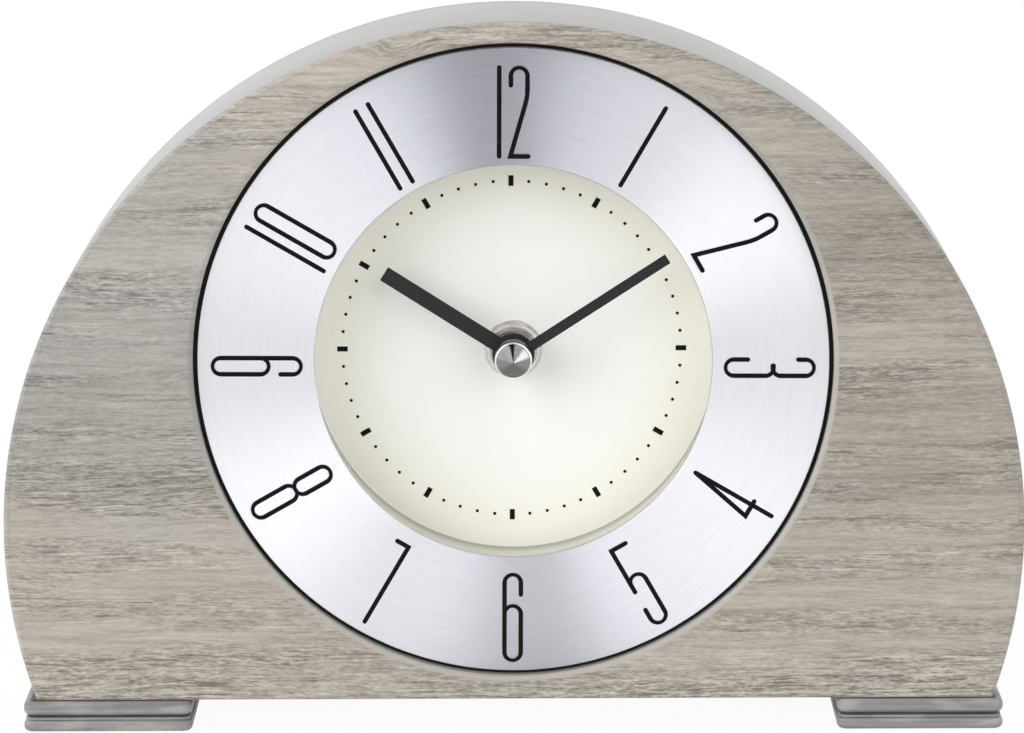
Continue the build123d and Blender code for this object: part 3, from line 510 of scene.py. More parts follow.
def foot_paint(name, dark, middle, light):
    """Mauve-grey spray with soft clouds and faint streaks along the moulding; in near-black tones it is the
    painted shade of the recesses.
    """
    mat, tree, inputs, place = finish(name, roughness=0.5, specular=0.4)
    lines = grain(tree, place, (45, 45, 1500), detail=4.0, roughness=0.6)
    clouds = grain(tree, place, (70, 70, 260), detail=3.0, shift=6.6)
    colour = mix(tree, spread(tree, lines, 0.3, 0.7), dark, middle)
    colour = mix(tree, spread(tree, clouds, 0.42, 0.68, 0.0, 0.75), colour, light)
    tree.links.new(colour, inputs["Base Color"])
    relief(tree, inputs, lines, 0.03 * mm, 0.4)
    return mat


def foot_layer(bm, low, high, bottom, top, inset, beaded, coat):
    """One layer of the moulding: a block with round corners and, on a bead, round edges."""
    size = Vector((high.x - low.x - 2 * inset, high.y - low.y - 2 * inset, top - bottom))
    middle = Vector(((low.x + high.x) / 2, (low.y + high.y) / 2, (bottom + top) / 2))
    before = set(bm.faces)
    stand = Matrix.Translation(middle) @ Matrix.Diagonal(size).to_4x4()
    block = bmesh.ops.create_cube(bm, size=1.0, matrix=stand)
    edges = {e for v in block["verts"] for e in v.link_edges}
    upright = [e for e in edges if abs(e.verts[0].co.z - e.verts[1].co.z) > 1e-6]
    made = bmesh.ops.bevel(bm, geom=upright, affect="EDGES", offset=foot_corner - inset, segments=6,
                           profile=0.5, material=-1)
    if beaded:
        around = {v for f in made["faces"] for v in f.verts} | {v for v in block["verts"] if v.is_valid}
        level = {e for v in around for e in v.link_edges if abs(e.verts[0].co.z - e.verts[1].co.z) < 1e-6}
        bmesh.ops.bevel(bm, geom=list(level), affect="EDGES", offset=foot_bead_round, segments=6, profile=0.5,
                        material=-1)
    for face in bm.faces:
        if face not in before:
            face.material_index = coat


mauve_grey = foot_paint("foot_grey", paint(130, 128, 129), paint(154, 151, 151), paint(184, 179, 176))
painted_groove_shade = foot_paint("foot_recesses_painted_shade", paint(58, 56, 57), paint(70, 68, 69), paint(84, 81, 81))
for node in ("left_foot", "right_foot"):
    low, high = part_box(node)
    if high.x < 0:
        low.x -= left_foot_reach
        high.x -= foot_end
    else:
        low.x += foot_end
    bm = bmesh.new()
    for bottom, top, inset, beaded, coat in foot_layers:
        foot_layer(bm, low, high, low.z + bottom * mm, low.z + top * mm, inset * mm, beaded, coat)
    bmesh.ops.recalc_face_normals(bm, faces=bm.faces)
    piece(node + "_moulding", bm, [mauve_grey, painted_groove_shade], "case", "foot_finish", node)


# Chapter ring: a flat ring of aluminium, spun so that it carries fine concentric brush
# marks, laid on the flange of the dial cup inside the black frame. The eased edge of its bore
# is duller and darkened, a painted shade.
ring_radius = ring_high.x
ring_bore = 46.5 * mm
ring_front = ring_low.y
ring_back = ring_high.y
ring_edge = 0.12 * mm
bore_edge = 0.16 * mm


def round_brushed(name, colour, shade, centre_z, counts, roughness=0.34, anisotropy=0.85):
    """Metal brushed in rings about the hands' axis, so that its shine fans out from the middle."""
    mat, tree, inputs, place = finish(name, roughness=roughness, metallic=1.0)
    inputs["Anisotropic"].default_value = anisotropy
    inputs["Anisotropic Rotation"].default_value = 0.25
    tangent = add(tree, "Tangent", direction_type="RADIAL", axis="Y")
    tree.links.new(tangent.outputs[0], inputs["Tangent"])
    around = round_about(tree, add(tree, "SeparateXYZ", {0: place}).outputs, centre_z)
    lines = grain(tree, around, counts, detail=3.0, roughness=0.65)
    tree.links.new(mix(tree, spread(tree, lines, 0.3, 0.7), shade, colour), inputs["Base Color"])
    relief(tree, inputs, lines, 0.004 * mm, 0.35)
    return mat


def off_axis(face):
    """Distance of a face's middle from the hands' axis."""
    return (face.calc_center_median().xz - Vector((0, dial_z))).length


bm = turned([(ring_bore, ring_front + bore_edge), (ring_bore + bore_edge, ring_front),
             (ring_radius - ring_edge, ring_front), (ring_radius, ring_front + ring_edge),
             (ring_radius, ring_back), (ring_bore, ring_back)], dial_z)
spun_aluminium = round_brushed("spun_aluminium", paint(250, 250, 253), paint(242, 243, 247), dial_z,
                               (5.0, 0.0, 2600.0), roughness=0.40, anisotropy=1.0)
# The bore's eased edge is duller aluminium, and its darker colour is a painted shade.
cut_edge_with_painted_shade = round_brushed("cut_aluminium_painted_shade", paint(196, 197, 200), paint(176, 177, 180), dial_z,
                         (5.0, 900.0, 900.0), roughness=0.5, anisotropy=0.0)
for face in bm.faces:
    if off_axis(face) < ring_bore + bore_edge:
        face.material_index = 1
piece("chapter_ring_face", bm, [spun_aluminium, cut_edge_with_painted_shade], "case", "spun_aluminium", "chapter_ring")


# Dial cup: a deep cup moulded in cream plastic, with a flange under the chapter ring, which
# overhangs its mouth a little, a plain wall and a flat floor with a softly rounded corner. The wall
# is coloured a darker cream that darkens further towards the floor, and the floor yellows towards
# the wall: both are painted shade.
cup_low, cup_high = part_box("dial_cup")
cup_bore = 48.1 * mm
cup_wall = 1.2 * mm
cup_flange = 1.6 * mm
cup_corner = 0.4 * mm
floor_y = -4.4 * mm
hub_hole = 4.15 * mm


def moulded(name, colour, tint, roughness=0.45, pebble=1800.0, depth=0.01, specular=0.5):
    """Moulded plastic: a fine pebbled skin with slow, slight changes of colour and gloss."""
    mat, tree, inputs, place = finish(name, roughness=roughness, specular=specular)
    skin = grain(tree, place, (pebble, pebble, pebble), detail=2.0)
    clouds = grain(tree, place, (35, 35, 35), detail=2.0, shift=2.7)
    tree.links.new(mix(tree, spread(tree, clouds, 0.3, 0.7), colour, tint), inputs["Base Color"])
    gloss = spread(tree, clouds, 0.3, 0.7, roughness - 0.04, roughness + 0.04)
    tree.links.new(gloss, inputs["Roughness"])
    relief(tree, inputs, skin, depth * mm, 0.4)
    return mat


def from_middle(tree, place):
    """Distance from the middle of the cup's floor."""
    centre = (0.0, floor_y, dial_z)
    return add(tree, "VectorMath", {0: place, 1: centre}, operation="DISTANCE").outputs["Value"]


def depth_in(tree, place):
    """Place along the depth of the clock."""
    return add(tree, "SeparateXYZ", {0: place}).outputs[1]


def add_painted_shade(mat, measure, start, full, tint):
    """Paint shade into a finish: its colour is drawn towards a tint, which sets in between two values of a
    measure.
    """
    tree = mat.node_tree
    colour = tree.nodes["Principled BSDF"].inputs["Base Color"]
    place = add(tree, "TexCoord").outputs["Object"]
    veil = mix(tree, spread(tree, measure(tree, place), start, full), white, tint)
    tree.links.new(mix(tree, 1.0, colour.links[0].from_socket, veil, blend="MULTIPLY"), colour)


cup_back = cup_high.y
flange_front = cup_low.y
flange_back = flange_front + cup_flange
cup_profile = [(ring_radius, flange_front), (cup_bore, flange_front)]
cup_profile += [(cup_bore - cup_corner + cup_corner * sin(radians(90 - a)), floor_y - cup_corner + cup_corner
                 * sin(radians(a))) for a in range(0, 91, 15)]
cup_profile += [(hub_hole, floor_y), (hub_hole, cup_back), (cup_bore + cup_wall, cup_back),
                (cup_bore + cup_wall, flange_back), (ring_radius, flange_back)]
bm = turned(cup_profile, dial_z)
# The wall's faces take the second finish, a darker copy of the cream that is a painted shade.
for face in bm.faces:
    on_wall = cup_bore - cup_corner / 2 < off_axis(face) < cup_bore + cup_corner / 2
    if on_wall and face.calc_center_median().y < floor_y - cup_corner / 4:
        face.material_index = 1
cream = moulded("cream_plastic", paint(254, 253, 249), paint(252, 251, 246), roughness=0.5, pebble=900.0)
# Painted shade: the floor's cream yellows towards the wall, and the wall's cream darkens towards the floor's
# corner.
add_painted_shade(cream, from_middle, 24 * mm, 46 * mm, paint(255, 254, 246))
wall_painted_shade = moulded("cream_wall_with_painted_shade", paint(224, 223, 214), paint(220, 219, 209), roughness=0.6, pebble=900.0)
add_painted_shade(wall_painted_shade, depth_in, floor_y - 7 * mm, floor_y - 0.5 * mm, paint(206, 206, 202))
piece("cream_dial_cup", bm, [cream, wall_painted_shade], "case", "cream_plastic", "dial_cup")


# Printing: thin black ink on the chapter ring (tall numerals, drawn with an even pen) and
# on the cup's floor (a bar for each hour and a dot for each minute between them).
ink_depth = 0.05 * mm
ink_layer = 0.002 * mm
pen_width = 1.08 * mm
pen_thin = 0.8
numeral_gap = 3.85
numeral_bow = numeral_gap / 2
numeral_height = 20.7
numeral_foot = 49.65
print_drop = 1.1 * mm
print_turn = radians(0.38)
ink = moulded("black_ink", paint(7, 7, 13), paint(11, 11, 17), roughness=0.5, pebble=2500.0, specular=0.12)


def stations(start, heading, moves):
    """Places along a pen stroke as (point, heading, width share); right turns are positive."""
    at = Vector((start[0], 0.0, start[1]))
    angle = radians(heading)
    line = [(at.copy(), angle, 1.0)]
    for move in moves:
        if not isinstance(move, tuple):
            at = at + Vector((sin(angle), 0.0, cos(angle))) * move
            line.append((at.copy(), angle, 1.0))
            continue
        radius, turn = move
        if radius == 0:
            half = radians(turn) / 2
            line[-1] = (at.copy(), angle + half, 1.0 / cos(half))
            angle += 2 * half
            continue
        side = 1 if turn > 0 else -1
        centre = at + Vector((cos(angle), 0.0, -sin(angle))) * radius * side
        count = max(3, round(abs(turn) / 12))
        for i in range(1, count + 1):
            bend = radians(turn) * i / count
            spoke = Matrix.Rotation(bend, 3, "Y") @ (at - centre)
            thin = 1 - (1 - pen_thin) * sin(pi * i / count) * min(1, abs(turn) / 180)
            line.append((centre + spoke, angle + bend, thin))
        at = line[-1][0]
        angle += radians(turn)
    return line


def stroke(bm, start, heading, *moves):
    """Pen stroke in mm with round ends, of straight runs (a length) and bends (a radius and a turn)."""
    line = stations(start, heading, moves)
    layer = Vector((0.0, -ink_layer * len(bm.faces), 0.0))
    edge = None
    for point, angle, share in line:
        across = Vector((cos(angle), 0.0, -sin(angle))) * pen_width * share / 2
        if edge is None:
            edge = bm.edges.new([bm.verts.new(point * mm + side * across + layer) for side in (-1, 1)])
            left = edge.verts[0]
            continue
        grown = bmesh.ops.extrude_edge_only(bm, edges=[edge])["geom"]
        edge = picked(grown, BMEdge)[0]
        new_left = next(e.other_vert(left) for e in left.link_edges if e.other_vert(left) in edge.verts)
        new_right = next(v for v in edge.verts if v is not new_left)
        layer.y -= ink_layer
        new_left.co = point * mm - across + layer
        new_right.co = point * mm + across + layer
        left = new_left
    closed = (line[0][0] - line[-1][0]).length < 0.01
    for point, _, _ in () if closed else (line[0], line[-1]):
        layer.y -= ink_layer
        flat = Matrix.Translation(point * mm + layer) @ Matrix.Rotation(pi / 2, 4, "X")
        bmesh.ops.create_circle(bm, cap_ends=True, segments=20, radius=pen_width / 2, matrix=flat)


def loop(bm, left, low, high):
    """Closed loop with round ends between two heights."""
    run = high - low - numeral_gap
    bend = (numeral_bow, 180)
    stroke(bm, (left, low + numeral_bow), 0, run, bend, run, bend)


def one(bm, left):
    """One: a plain upright stroke."""
    stroke(bm, (left, 0), 0, numeral_height)


def two(bm, left):
    """Two: a hooked top, a slanting stroke and a foot."""
    slant = 15.8
    stroke(bm, (left, 16.6), 0, 2.15, (numeral_bow, 180), 3.2, (12, slant), 12.8, (0, -90 - slant), 4.15)


def three(bm, left):
    """Three: two open hooks that meet in a short point."""
    stroke(bm, (left, 5.2), 180, 3.3, (numeral_bow, -180), 7.5, (1.8, -90), 0.6)
    stroke(bm, (left, 17.0), 0, 1.75, (numeral_bow, 180), 5.9, (1.8, 90), 0.6)


def four(bm, left):
    """Four: an upright, a slanting stroke from its top and a crossbar."""
    bar_height = 5.3
    reach = 3.05
    overhang = 1.0
    length = sqrt(reach ** 2 + (numeral_height - bar_height) ** 2)
    slope = asin(reach / length) * 180 / pi
    stroke(bm, (left, 0), 0, numeral_height)
    stroke(bm, (left, numeral_height), 180 + slope, length, (0, -90 - slope), reach + overhang)


def five(bm, left):
    """Five: a flag and a stem, with a bowl that springs from the stem and ends in a hook."""
    stroke(bm, (left + numeral_gap, numeral_height), 270, numeral_gap, (0, -90), 11.4)
    stroke(bm, (left, 11.05), 0, (numeral_bow, 180), 9.1, (numeral_bow, 180), 2.4)


def hooked_bowl(bm, start, heading):
    """A hook, a long stem and a closed bowl in one line."""
    bend = (numeral_bow, -180)
    stroke(bm, start, heading, 2.85, bend, 16.85, bend, 9.3, bend)


def six(bm, left):
    """Six: a hook, a long stem and a closed bowl."""
    hooked_bowl(bm, (left + numeral_gap, 15.9), 0)


def seven(bm, left):
    """Seven: a flag and an upright."""
    flag = 3.0
    stroke(bm, (left - flag, numeral_height), 90, flag, (0, 90), numeral_height)


def eight(bm, left):
    """Eight: a large loop below a small one."""
    waist = 11.45
    loop(bm, left, 0, waist)
    loop(bm, left, waist - 0.1, numeral_height)


def nine(bm, left):
    """Nine: the six turned over."""
    hooked_bowl(bm, (left, 4.8), 180)


def zero(bm, left):
    """Nought: one long loop."""
    loop(bm, left, 0, numeral_height)


middle = -numeral_gap / 2
hours = {
    1: ((one, 0.0),), 2: ((two, middle),), 3: ((three, middle),), 4: ((four, -0.3),), 5: ((five, middle),),
    6: ((six, middle),), 7: ((seven, 0.3),), 8: ((eight, middle),), 9: ((nine, middle),),
    10: ((one, -2.6), (zero, 0.25)), 11: ((one, -1.85), (one, 1.5)), 12: ((one, -3.45), (two, -0.75)),
}
inward = range(4, 9)
numerals = bmesh.new()
for hour, glyphs in hours.items():
    bm = bmesh.new()
    for glyph, left in glyphs:
        glyph(bm, left)
    turn = hour * pi / 6 + print_turn + (pi if hour in inward else 0)
    foot = -numeral_foot - numeral_height if hour in inward else numeral_foot
    bmesh.ops.translate(bm, verts=bm.verts, vec=(0, 0, foot * mm))
    bmesh.ops.rotate(bm, verts=bm.verts, cent=(0, 0, 0), matrix=Matrix.Rotation(turn, 3, "Y"))
    bmesh.ops.translate(bm, verts=bm.verts, vec=(0, ring_front, dial_z - print_drop))
    thicken(bm, -ink_depth)
    join(numerals, bm)
piece("numerals", numerals, [ink], "case", "hand_black")

track_radius = 40.2 * mm
track_place = Vector((-0.42 * mm, floor_y - ink_depth / 2, dial_z + 0.1 * mm))
hour_bar = Vector((1.2, 0.0, 2.5)) * mm
minute_dot = 0.38 * mm
bm = bmesh.new()
for minute in range(60):
    spot = Matrix.Translation(track_place) @ Matrix.Rotation(minute * pi / 30, 4, "Y")
    spot = spot @ Matrix.Translation((0, 0, track_radius))
    if minute % 5 == 0:
        bar = Matrix.Diagonal((hour_bar.x, ink_depth, hour_bar.z, 1))
        bmesh.ops.create_cube(bm, size=1.0, matrix=spot @ bar)
    else:
        bmesh.ops.create_cone(bm, cap_ends=True, segments=16, radius1=minute_dot, radius2=minute_dot,
                              depth=ink_depth, matrix=spot @ Matrix.Rotation(pi / 2, 4, "X"))
piece("minute_track", bm, [ink], "case", "hand_black")


# Hub: a round plated nut on a washer that clamps the movement to the dial, the two black
# pressed hands on their arbors, and a small spun cap with a cone, a rim and a skirt with one
# silver line, which holds the minute hand. The rim is given a paler metal, a painted highlight,
# and the skirt but for its silver line the hands' black, a painted reflection of the black hands.
nut_low, nut_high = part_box("mounting_nut")
nut_radius = nut_high.x
nut_bore = 4.05 * mm
nut_groove = 0.35 * mm
nut_profile = [(nut_bore, nut_low.y + nut_groove), (nut_bore + nut_groove, nut_low.y)]
nut_profile += [(nut_radius * 0.80, nut_low.y), (nut_radius * 0.82, nut_low.y + nut_groove),
                (nut_radius * 0.86, nut_low.y + nut_groove), (nut_radius * 0.88, nut_low.y + nut_groove / 2)]
nut_profile += corner(nut_radius - 0.5 * mm, nut_low.y + 0.75 * mm, 0.5 * mm, 0, 90)
nut_profile += [(nut_radius, nut_high.y), (nut_bore, nut_high.y)]
bm = turned(nut_profile, dial_z, steps=96)
plated = round_brushed("plated_nut", paint(240, 237, 231), paint(196, 192, 186), dial_z, (2.0, 200.0, 2600.0),
                       roughness=0.42, anisotropy=0.0)
piece("mounting_nut_ring", bm, [plated], "case", "nickel", "mounting_nut")
washer_low, washer_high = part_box("dial_washer")
washer_edge = 0.12 * mm
washer_profile = [(nut_bore, washer_low.y), (washer_high.x - washer_edge, washer_low.y),
                  (washer_high.x, washer_low.y + washer_edge),
                  (washer_high.x, washer_high.y), (nut_bore, washer_high.y)]
piece("dial_washer_ring", turned(washer_profile, dial_z, steps=96), [plated], "case", "nickel", "dial_washer")

hand_edge = 0.13 * mm
arbor_radius = 1.42 * mm
hand_paint = moulded("hand_black", paint(33, 32, 32), paint(39, 38, 38), roughness=0.5, pebble=2600.0,
                     depth=0.008, specular=0.3)


def hand(node, length, width, eye, hole, angle):
    """Flat pressed hand with a round eye and eased edges, in the place of its node."""
    low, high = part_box(node)
    bm = bmesh.new()
    stand = Matrix.Translation((0, low.y, 0)) @ Matrix.Rotation(pi / 2, 4, "X")
    for radius in (eye, hole):
        bmesh.ops.create_circle(bm, segments=72, radius=radius, matrix=stand)
    bmesh.ops.bridge_loops(bm, edges=bm.edges[:])
    shoulder = sqrt(eye ** 2 - (width / 2) ** 2)
    cut = bmesh.ops.bisect_plane(bm, geom=bm.verts[:] + bm.edges[:] + bm.faces[:], plane_co=(0, 0, shoulder),
                                 plane_no=(0, 0, 1), clear_outer=True)
    chord = picked(cut["geom_cut"], BMEdge)
    bar = bmesh.ops.extrude_edge_only(bm, edges=chord)["geom"]
    bmesh.ops.translate(bm, verts=picked(bar, BMVert), vec=(0, 0, length - shoulder))
    thicken(bm, high.y - low.y)
    sharp = [e for e in bm.edges if e.is_manifold and e.calc_face_angle() > radians(60)]
    bmesh.ops.bevel(bm, geom=sharp, affect="EDGES", offset=hand_edge, segments=3, profile=0.5, material=-1)
    bmesh.ops.rotate(bm, verts=bm.verts, cent=(0, 0, 0), matrix=Matrix.Rotation(radians(angle), 3, "Y"))
    bmesh.ops.translate(bm, verts=bm.verts, vec=(0, 0, dial_z))
    return bm


hour_bm = hand("hour_hand", length=36.0 * mm, width=3.65 * mm, eye=5.0 * mm, hole=2.52 * mm, angle=302.5)
piece("hour_hand_bar", hour_bm, [hand_paint], "hour", "hand_black", "hour_hand")
minute_bm = hand("minute_hand", length=43.15 * mm, width=2.4 * mm, eye=4.5 * mm, hole=arbor_radius,
                 angle=57.2)
piece("minute_hand_bar", minute_bm, [hand_paint], "minute", "hand_black", "minute_hand")

cap_low, cap_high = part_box("cap_nut")
cap_radius = cap_high.x
cap_cone = 3.0 * mm
cap_rim = 0.35 * mm
cap_line = (0.95 * mm, 1.30 * mm)
cap_tip = (0.2 * mm, 0.03 * mm)
cap_thread = 3.5 * mm
cap_support = 0.1 * mm
cap_skirt_y = cap_low.y + cap_cone
cap_slope = (cap_cone - cap_rim - cap_tip[1]) / (cap_radius - 2 * cap_rim - cap_tip[0])
cap_profile = [(0.0, cap_low.y), (cap_tip[0], cap_low.y + cap_tip[1])]
cap_profile += [(cap_radius - 2 * cap_rim - back, cap_skirt_y - cap_rim - back * cap_slope)
                for back in (cap_support, 0.0)]
cap_profile += corner(cap_radius - cap_rim, cap_skirt_y + cap_rim / 2, cap_rim, 0, 90)
cap_profile += [(cap_radius, cap_high.y - cap_line[1]), (cap_radius, cap_high.y - cap_line[0])]
cap_profile += [(cap_radius, cap_high.y), (arbor_radius, cap_high.y),
                (arbor_radius, cap_high.y - cap_thread), (0.0, cap_high.y - cap_thread)]
bm = turned(cap_profile, dial_z, steps=96)
# The skirt, but for one silver line, takes the hands' black as a painted reflection of the black hands, and
# the rim a paler metal as a painted highlight.
for face in bm.faces:
    middle = face.calc_center_median()
    on_skirt = off_axis(face) > cap_radius * 0.98 and middle.y > cap_skirt_y + cap_rim / 2
    on_rim = off_axis(face) > cap_radius - 1.4 * cap_rim
    if on_skirt and not cap_line[0] < cap_high.y - middle.y < cap_line[1]:
        face.material_index = 1
    elif on_rim:
        face.material_index = 2
spun_cap = round_brushed("spun_cap", paint(140, 139, 138), paint(128, 127, 126), dial_z, (2.0, 300.0, 5200.0),
                         roughness=0.12, anisotropy=0.6)
cap_rim_painted_highlight = round_brushed("cap_rim_painted_highlight", paint(246, 245, 243), paint(232, 231, 229), dial_z,
                           (2.0, 300.0, 5200.0), roughness=0.30, anisotropy=0.0)
piece("spun_cap_nut", bm, [spun_cap, hand_paint, cap_rim_painted_highlight], "minute", "nickel", "cap_nut", crease=20)


# Pieces left as they were machined or moulded: the bent rim, base and posts of raw board,
# the hardboard back, the screws, the black dial frame and the quartz movement with its
# train, motor and circuit. Each keeps its own form and gets its own finish.
def raw_board(name, colour, fleck, counts=(420, 420, 420), roughness=0.8):
    """Bare fibreboard: fine fibres pressed together, with pale and dark specks."""
    mat, tree, inputs, place = finish(name, roughness=roughness, specular=0.25)
    fibres = grain(tree, place, counts, detail=5.0, roughness=0.7)
    specks = grain(tree, place, (1500, 1500, 1500), detail=1.0, shift=9.1)
    ground = mix(tree, spread(tree, fibres, 0.3, 0.7), colour, fleck)
    ground = mix(tree, spread(tree, specks, 0.62, 0.75, 0.0, 0.5), ground, colour)
    tree.links.new(ground, inputs["Base Color"])
    relief(tree, inputs, fibres, 0.06 * mm, 0.5)
    return mat


def worked_metal(name, colour, shade, roughness=0.35, counts=(900, 900, 900)):
    """Plain metal with fine tool marks and a slightly uneven gloss."""
    mat, tree, inputs, place = finish(name, roughness=roughness, metallic=1.0)
    marks = grain(tree, place, counts, detail=3.0)
    tree.links.new(mix(tree, spread(tree, marks, 0.3, 0.7), shade, colour), inputs["Base Color"])
    tree.links.new(spread(tree, marks, 0.3, 0.7, roughness - 0.08, roughness + 0.08), inputs["Roughness"])
    relief(tree, inputs, marks, 0.005 * mm, 0.3)
    return mat


slot_finishes = {
    "raw_board": raw_board("bare_fibreboard", paint(176, 148, 112), paint(192, 166, 130)),
    "back_board": raw_board("brown_hardboard", paint(104, 78, 56), paint(122, 94, 68), roughness=0.55),
    "post_wood": raw_board("beech_dowel", paint(198, 164, 122), paint(212, 182, 142), counts=(900, 25, 900)),
    "screw_steel": worked_metal("zinc_steel", paint(196, 196, 192), paint(170, 170, 168)),
    "black_frame": moulded("black_frame", paint(20, 20, 21), paint(25, 25, 26), roughness=0.4, specular=0.2),
    "washer_rubber": moulded("black_rubber", paint(38, 37, 36), paint(46, 45, 44), roughness=0.8),
    "nickel": worked_metal("nickel_plate", paint(206, 204, 198), paint(186, 184, 178), roughness=0.3),
    "bushing_brass": worked_metal("bushing_brass", paint(208, 176, 106), paint(186, 152, 84)),
    "housing_plastic": moulded("housing_black", paint(34, 34, 36), paint(42, 42, 44), roughness=0.55,
                               pebble=1400.0),
    "gear_plastic": moulded("gear_white", paint(232, 230, 220), paint(222, 220, 208), roughness=0.4),
    "arbor_brass": worked_metal("arbor_brass", paint(210, 180, 112), paint(188, 156, 90)),
    "rotor_finish": moulded("rotor_grey", paint(74, 72, 70), paint(86, 84, 82), roughness=0.5),
    "motor_iron": worked_metal("motor_iron", paint(160, 158, 156), paint(136, 134, 132), roughness=0.45),
    "winding_copper": worked_metal("winding_copper", paint(196, 116, 70), paint(150, 82, 46),
                                   counts=(60, 60, 9000)),
    "bobbin_plastic": moulded("bobbin_white", paint(226, 224, 214), paint(214, 212, 202)),
    "board_laminate": moulded("brown_laminate", paint(128, 98, 58), paint(142, 110, 68), roughness=0.4),
    "crystal_can": worked_metal("crystal_can", paint(206, 206, 204), paint(186, 186, 186)),
    "contact_spring": worked_metal("contact_spring", paint(204, 200, 190), paint(176, 172, 162)),
    "knob_plastic": moulded("knob_grey", paint(186, 186, 183), paint(196, 196, 193), roughness=0.45),
}
for part in frame["record"]["subparts"]:
    if part["material_slot"] in slot_finishes:
        for holder in frame["nodes"][part["node"]].material_slots:
            holder.material = slot_finishes[part["material_slot"]]


# Cell: a plain round cell in the movement's trough, a steel can in a printed sleeve that is
# shrunk over its shoulders, with a flat end at the left and a nub at the right.
cell_low, cell_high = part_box("battery")
cell_radius = (cell_high.z - cell_low.z) / 2
cell_length = cell_high.x - cell_low.x
cell_y = (cell_low.y + cell_high.y) / 2
cell_z = (cell_low.z + cell_high.z) / 2
nub_radius = 2.7 * mm
nub_height = 1.4 * mm
cell_dish = 0.3 * mm
cell_ease = 0.2 * mm
cell_shrink = 0.6 * mm
cell_band = 9.0 * mm
shoulder = cell_length - nub_height
cell_profile = [(0.0, cell_dish), (cell_radius - 1.6 * mm, cell_dish), (cell_radius - 1.4 * mm, 0.0)]
cell_profile += [(cell_radius - cell_shrink, 0.0), (cell_radius - cell_ease, cell_ease)]
cell_profile += [(cell_radius, cell_shrink), (cell_radius, shoulder - cell_band)]
cell_profile += [(cell_radius, shoulder - cell_shrink), (cell_radius - cell_ease, shoulder - cell_ease)]
cell_profile += [(cell_radius - cell_shrink, shoulder), (cell_radius - 1.9 * mm, shoulder)]
cell_profile += [(cell_radius - 2.1 * mm, shoulder - cell_dish)]
cell_profile += [(nub_radius + 0.4 * mm, shoulder - cell_dish), (nub_radius, shoulder)]
cell_profile += [(nub_radius, cell_length - cell_dish)]
cell_profile += [(nub_radius - cell_dish, cell_length), (0.0, cell_length)]
bm = turned(cell_profile, 0.0, closed=False, steps=96)
for face in bm.faces:
    middle = face.calc_center_median()
    if middle.xz.length > cell_radius - 1.5 * mm:
        face.material_index = 1 if middle.y > shoulder - cell_band else 0
    else:
        face.material_index = 2
bmesh.ops.rotate(bm, verts=bm.verts, cent=(0, 0, 0), matrix=Matrix.Rotation(-pi / 2, 3, "Z"))
bmesh.ops.translate(bm, verts=bm.verts, vec=(cell_low.x, cell_y, cell_z))
bmesh.ops.recalc_face_normals(bm, faces=bm.faces)
sleeve = moulded("cell_sleeve", paint(52, 60, 74), paint(58, 66, 80), roughness=0.32, pebble=700.0)
sleeve_band = moulded("cell_sleeve_band", paint(176, 178, 180), paint(184, 186, 188), roughness=0.30,
                      pebble=700.0)
can_steel = worked_metal("can_steel", paint(206, 204, 198), paint(186, 184, 178), roughness=0.3)
piece("cell_in_sleeve", bm, [sleeve, sleeve_band, can_steel], "case", "cell_sleeve", "battery")


# Moulded marks: raised with the movement's cover in the same black plastic, a thin rib round
# its edge, a collar and a two-ended arrow for the setting knob, and the signs of the cell's ends.
cover_low, cover_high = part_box("movement_cover")
knob_low, knob_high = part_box("setting_knob")
knob_x = (knob_low.x + knob_high.x) / 2
knob_z = (knob_low.z + knob_high.z) / 2
knob_radius = (knob_high.z - knob_low.z) / 2
mark_height = 0.35 * mm
mark_width = 0.9 * mm
rib_inset = 2.2 * mm
sign_size = 4.2 * mm
sign_rise = 4.6 * mm
sign_inset = 7.0 * mm
arrow_radius = knob_radius + 3.2 * mm
arrow_half_turn = radians(58)
arrow_head = 2.0 * mm
cover_y = cover_high.y


def raised_bar(bm, x, z, width, height):
    """Flat bar raised on the cover."""
    middle = Matrix.Translation((x, cover_y + mark_height / 2, z))
    bmesh.ops.create_cube(bm, size=1.0, matrix=middle @ Matrix.Diagonal((width, mark_height, height, 1)))


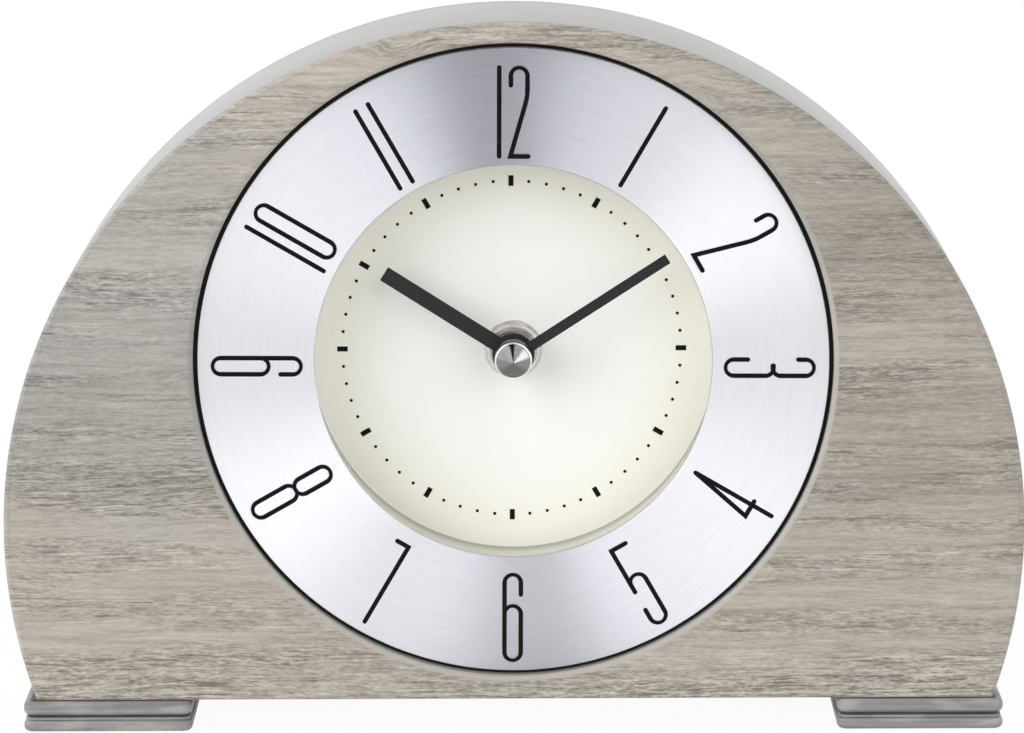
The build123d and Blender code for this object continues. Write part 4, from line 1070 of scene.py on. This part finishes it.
collar = [(knob_radius + 0.8 * mm, cover_y), (knob_radius + 0.9 * mm, cover_y + mark_height),
          (knob_radius + 1.6 * mm, cover_y + mark_height), (knob_radius + 1.7 * mm, cover_y)]
marks = turned(collar, knob_z, steps=72)
bmesh.ops.translate(marks, verts=marks.verts, vec=(knob_x, 0, 0))
cover_middle = Vector(((cover_low.x + cover_high.x) / 2, 0, (cover_low.z + cover_high.z) / 2))
rib_half = Vector(((cover_high.x - cover_low.x) / 2 - rib_inset, 0,
                   (cover_high.z - cover_low.z) / 2 - rib_inset))
for side in (-1, 1):
    raised_bar(marks, cover_middle.x + side * rib_half.x, cover_middle.z,
               mark_width, 2 * rib_half.z + mark_width)
    raised_bar(marks, cover_middle.x, cover_middle.z + side * rib_half.z,
               2 * rib_half.x - mark_width, mark_width)
    sign_x = cover_middle.x + side * (rib_half.x - sign_inset)
    sign_z = cover_middle.z - rib_half.z + sign_rise
    raised_bar(marks, sign_x, sign_z, sign_size, mark_width)
    if side == 1:
        for end in (-1, 1):
            raised_bar(marks, sign_x, sign_z + end * (sign_size + mark_width) / 4,
                       mark_width, (sign_size - mark_width) / 2)
arc = bmesh.new()
start = [arc.verts.new((sin(-arrow_half_turn) * r, cover_y, cos(-arrow_half_turn) * r))
         for r in (arrow_radius - mark_width / 2, arrow_radius + mark_width / 2)]
first = arc.edges.new(start)
bmesh.ops.spin(arc, geom=start + [first], cent=(0, cover_y, 0), axis=(0, 1, 0),
               angle=2 * arrow_half_turn, steps=24)
for side in (-1, 1):
    lean = Matrix.Rotation(side * arrow_half_turn, 4, "Y")
    tip = [(side * arrow_head * 1.5, 0.0), (0.0, arrow_head), (0.0, -arrow_head)]
    arc.faces.new([arc.verts.new(lean @ Vector((x, cover_y, arrow_radius + z))) for x, z in tip])
thicken(arc, mark_height)
bmesh.ops.translate(arc, verts=arc.verts, vec=(knob_x, 0, knob_z))
join(marks, arc)
piece("cover_marks", marks, [slot_finishes["housing_plastic"]], "case", "housing_plastic")
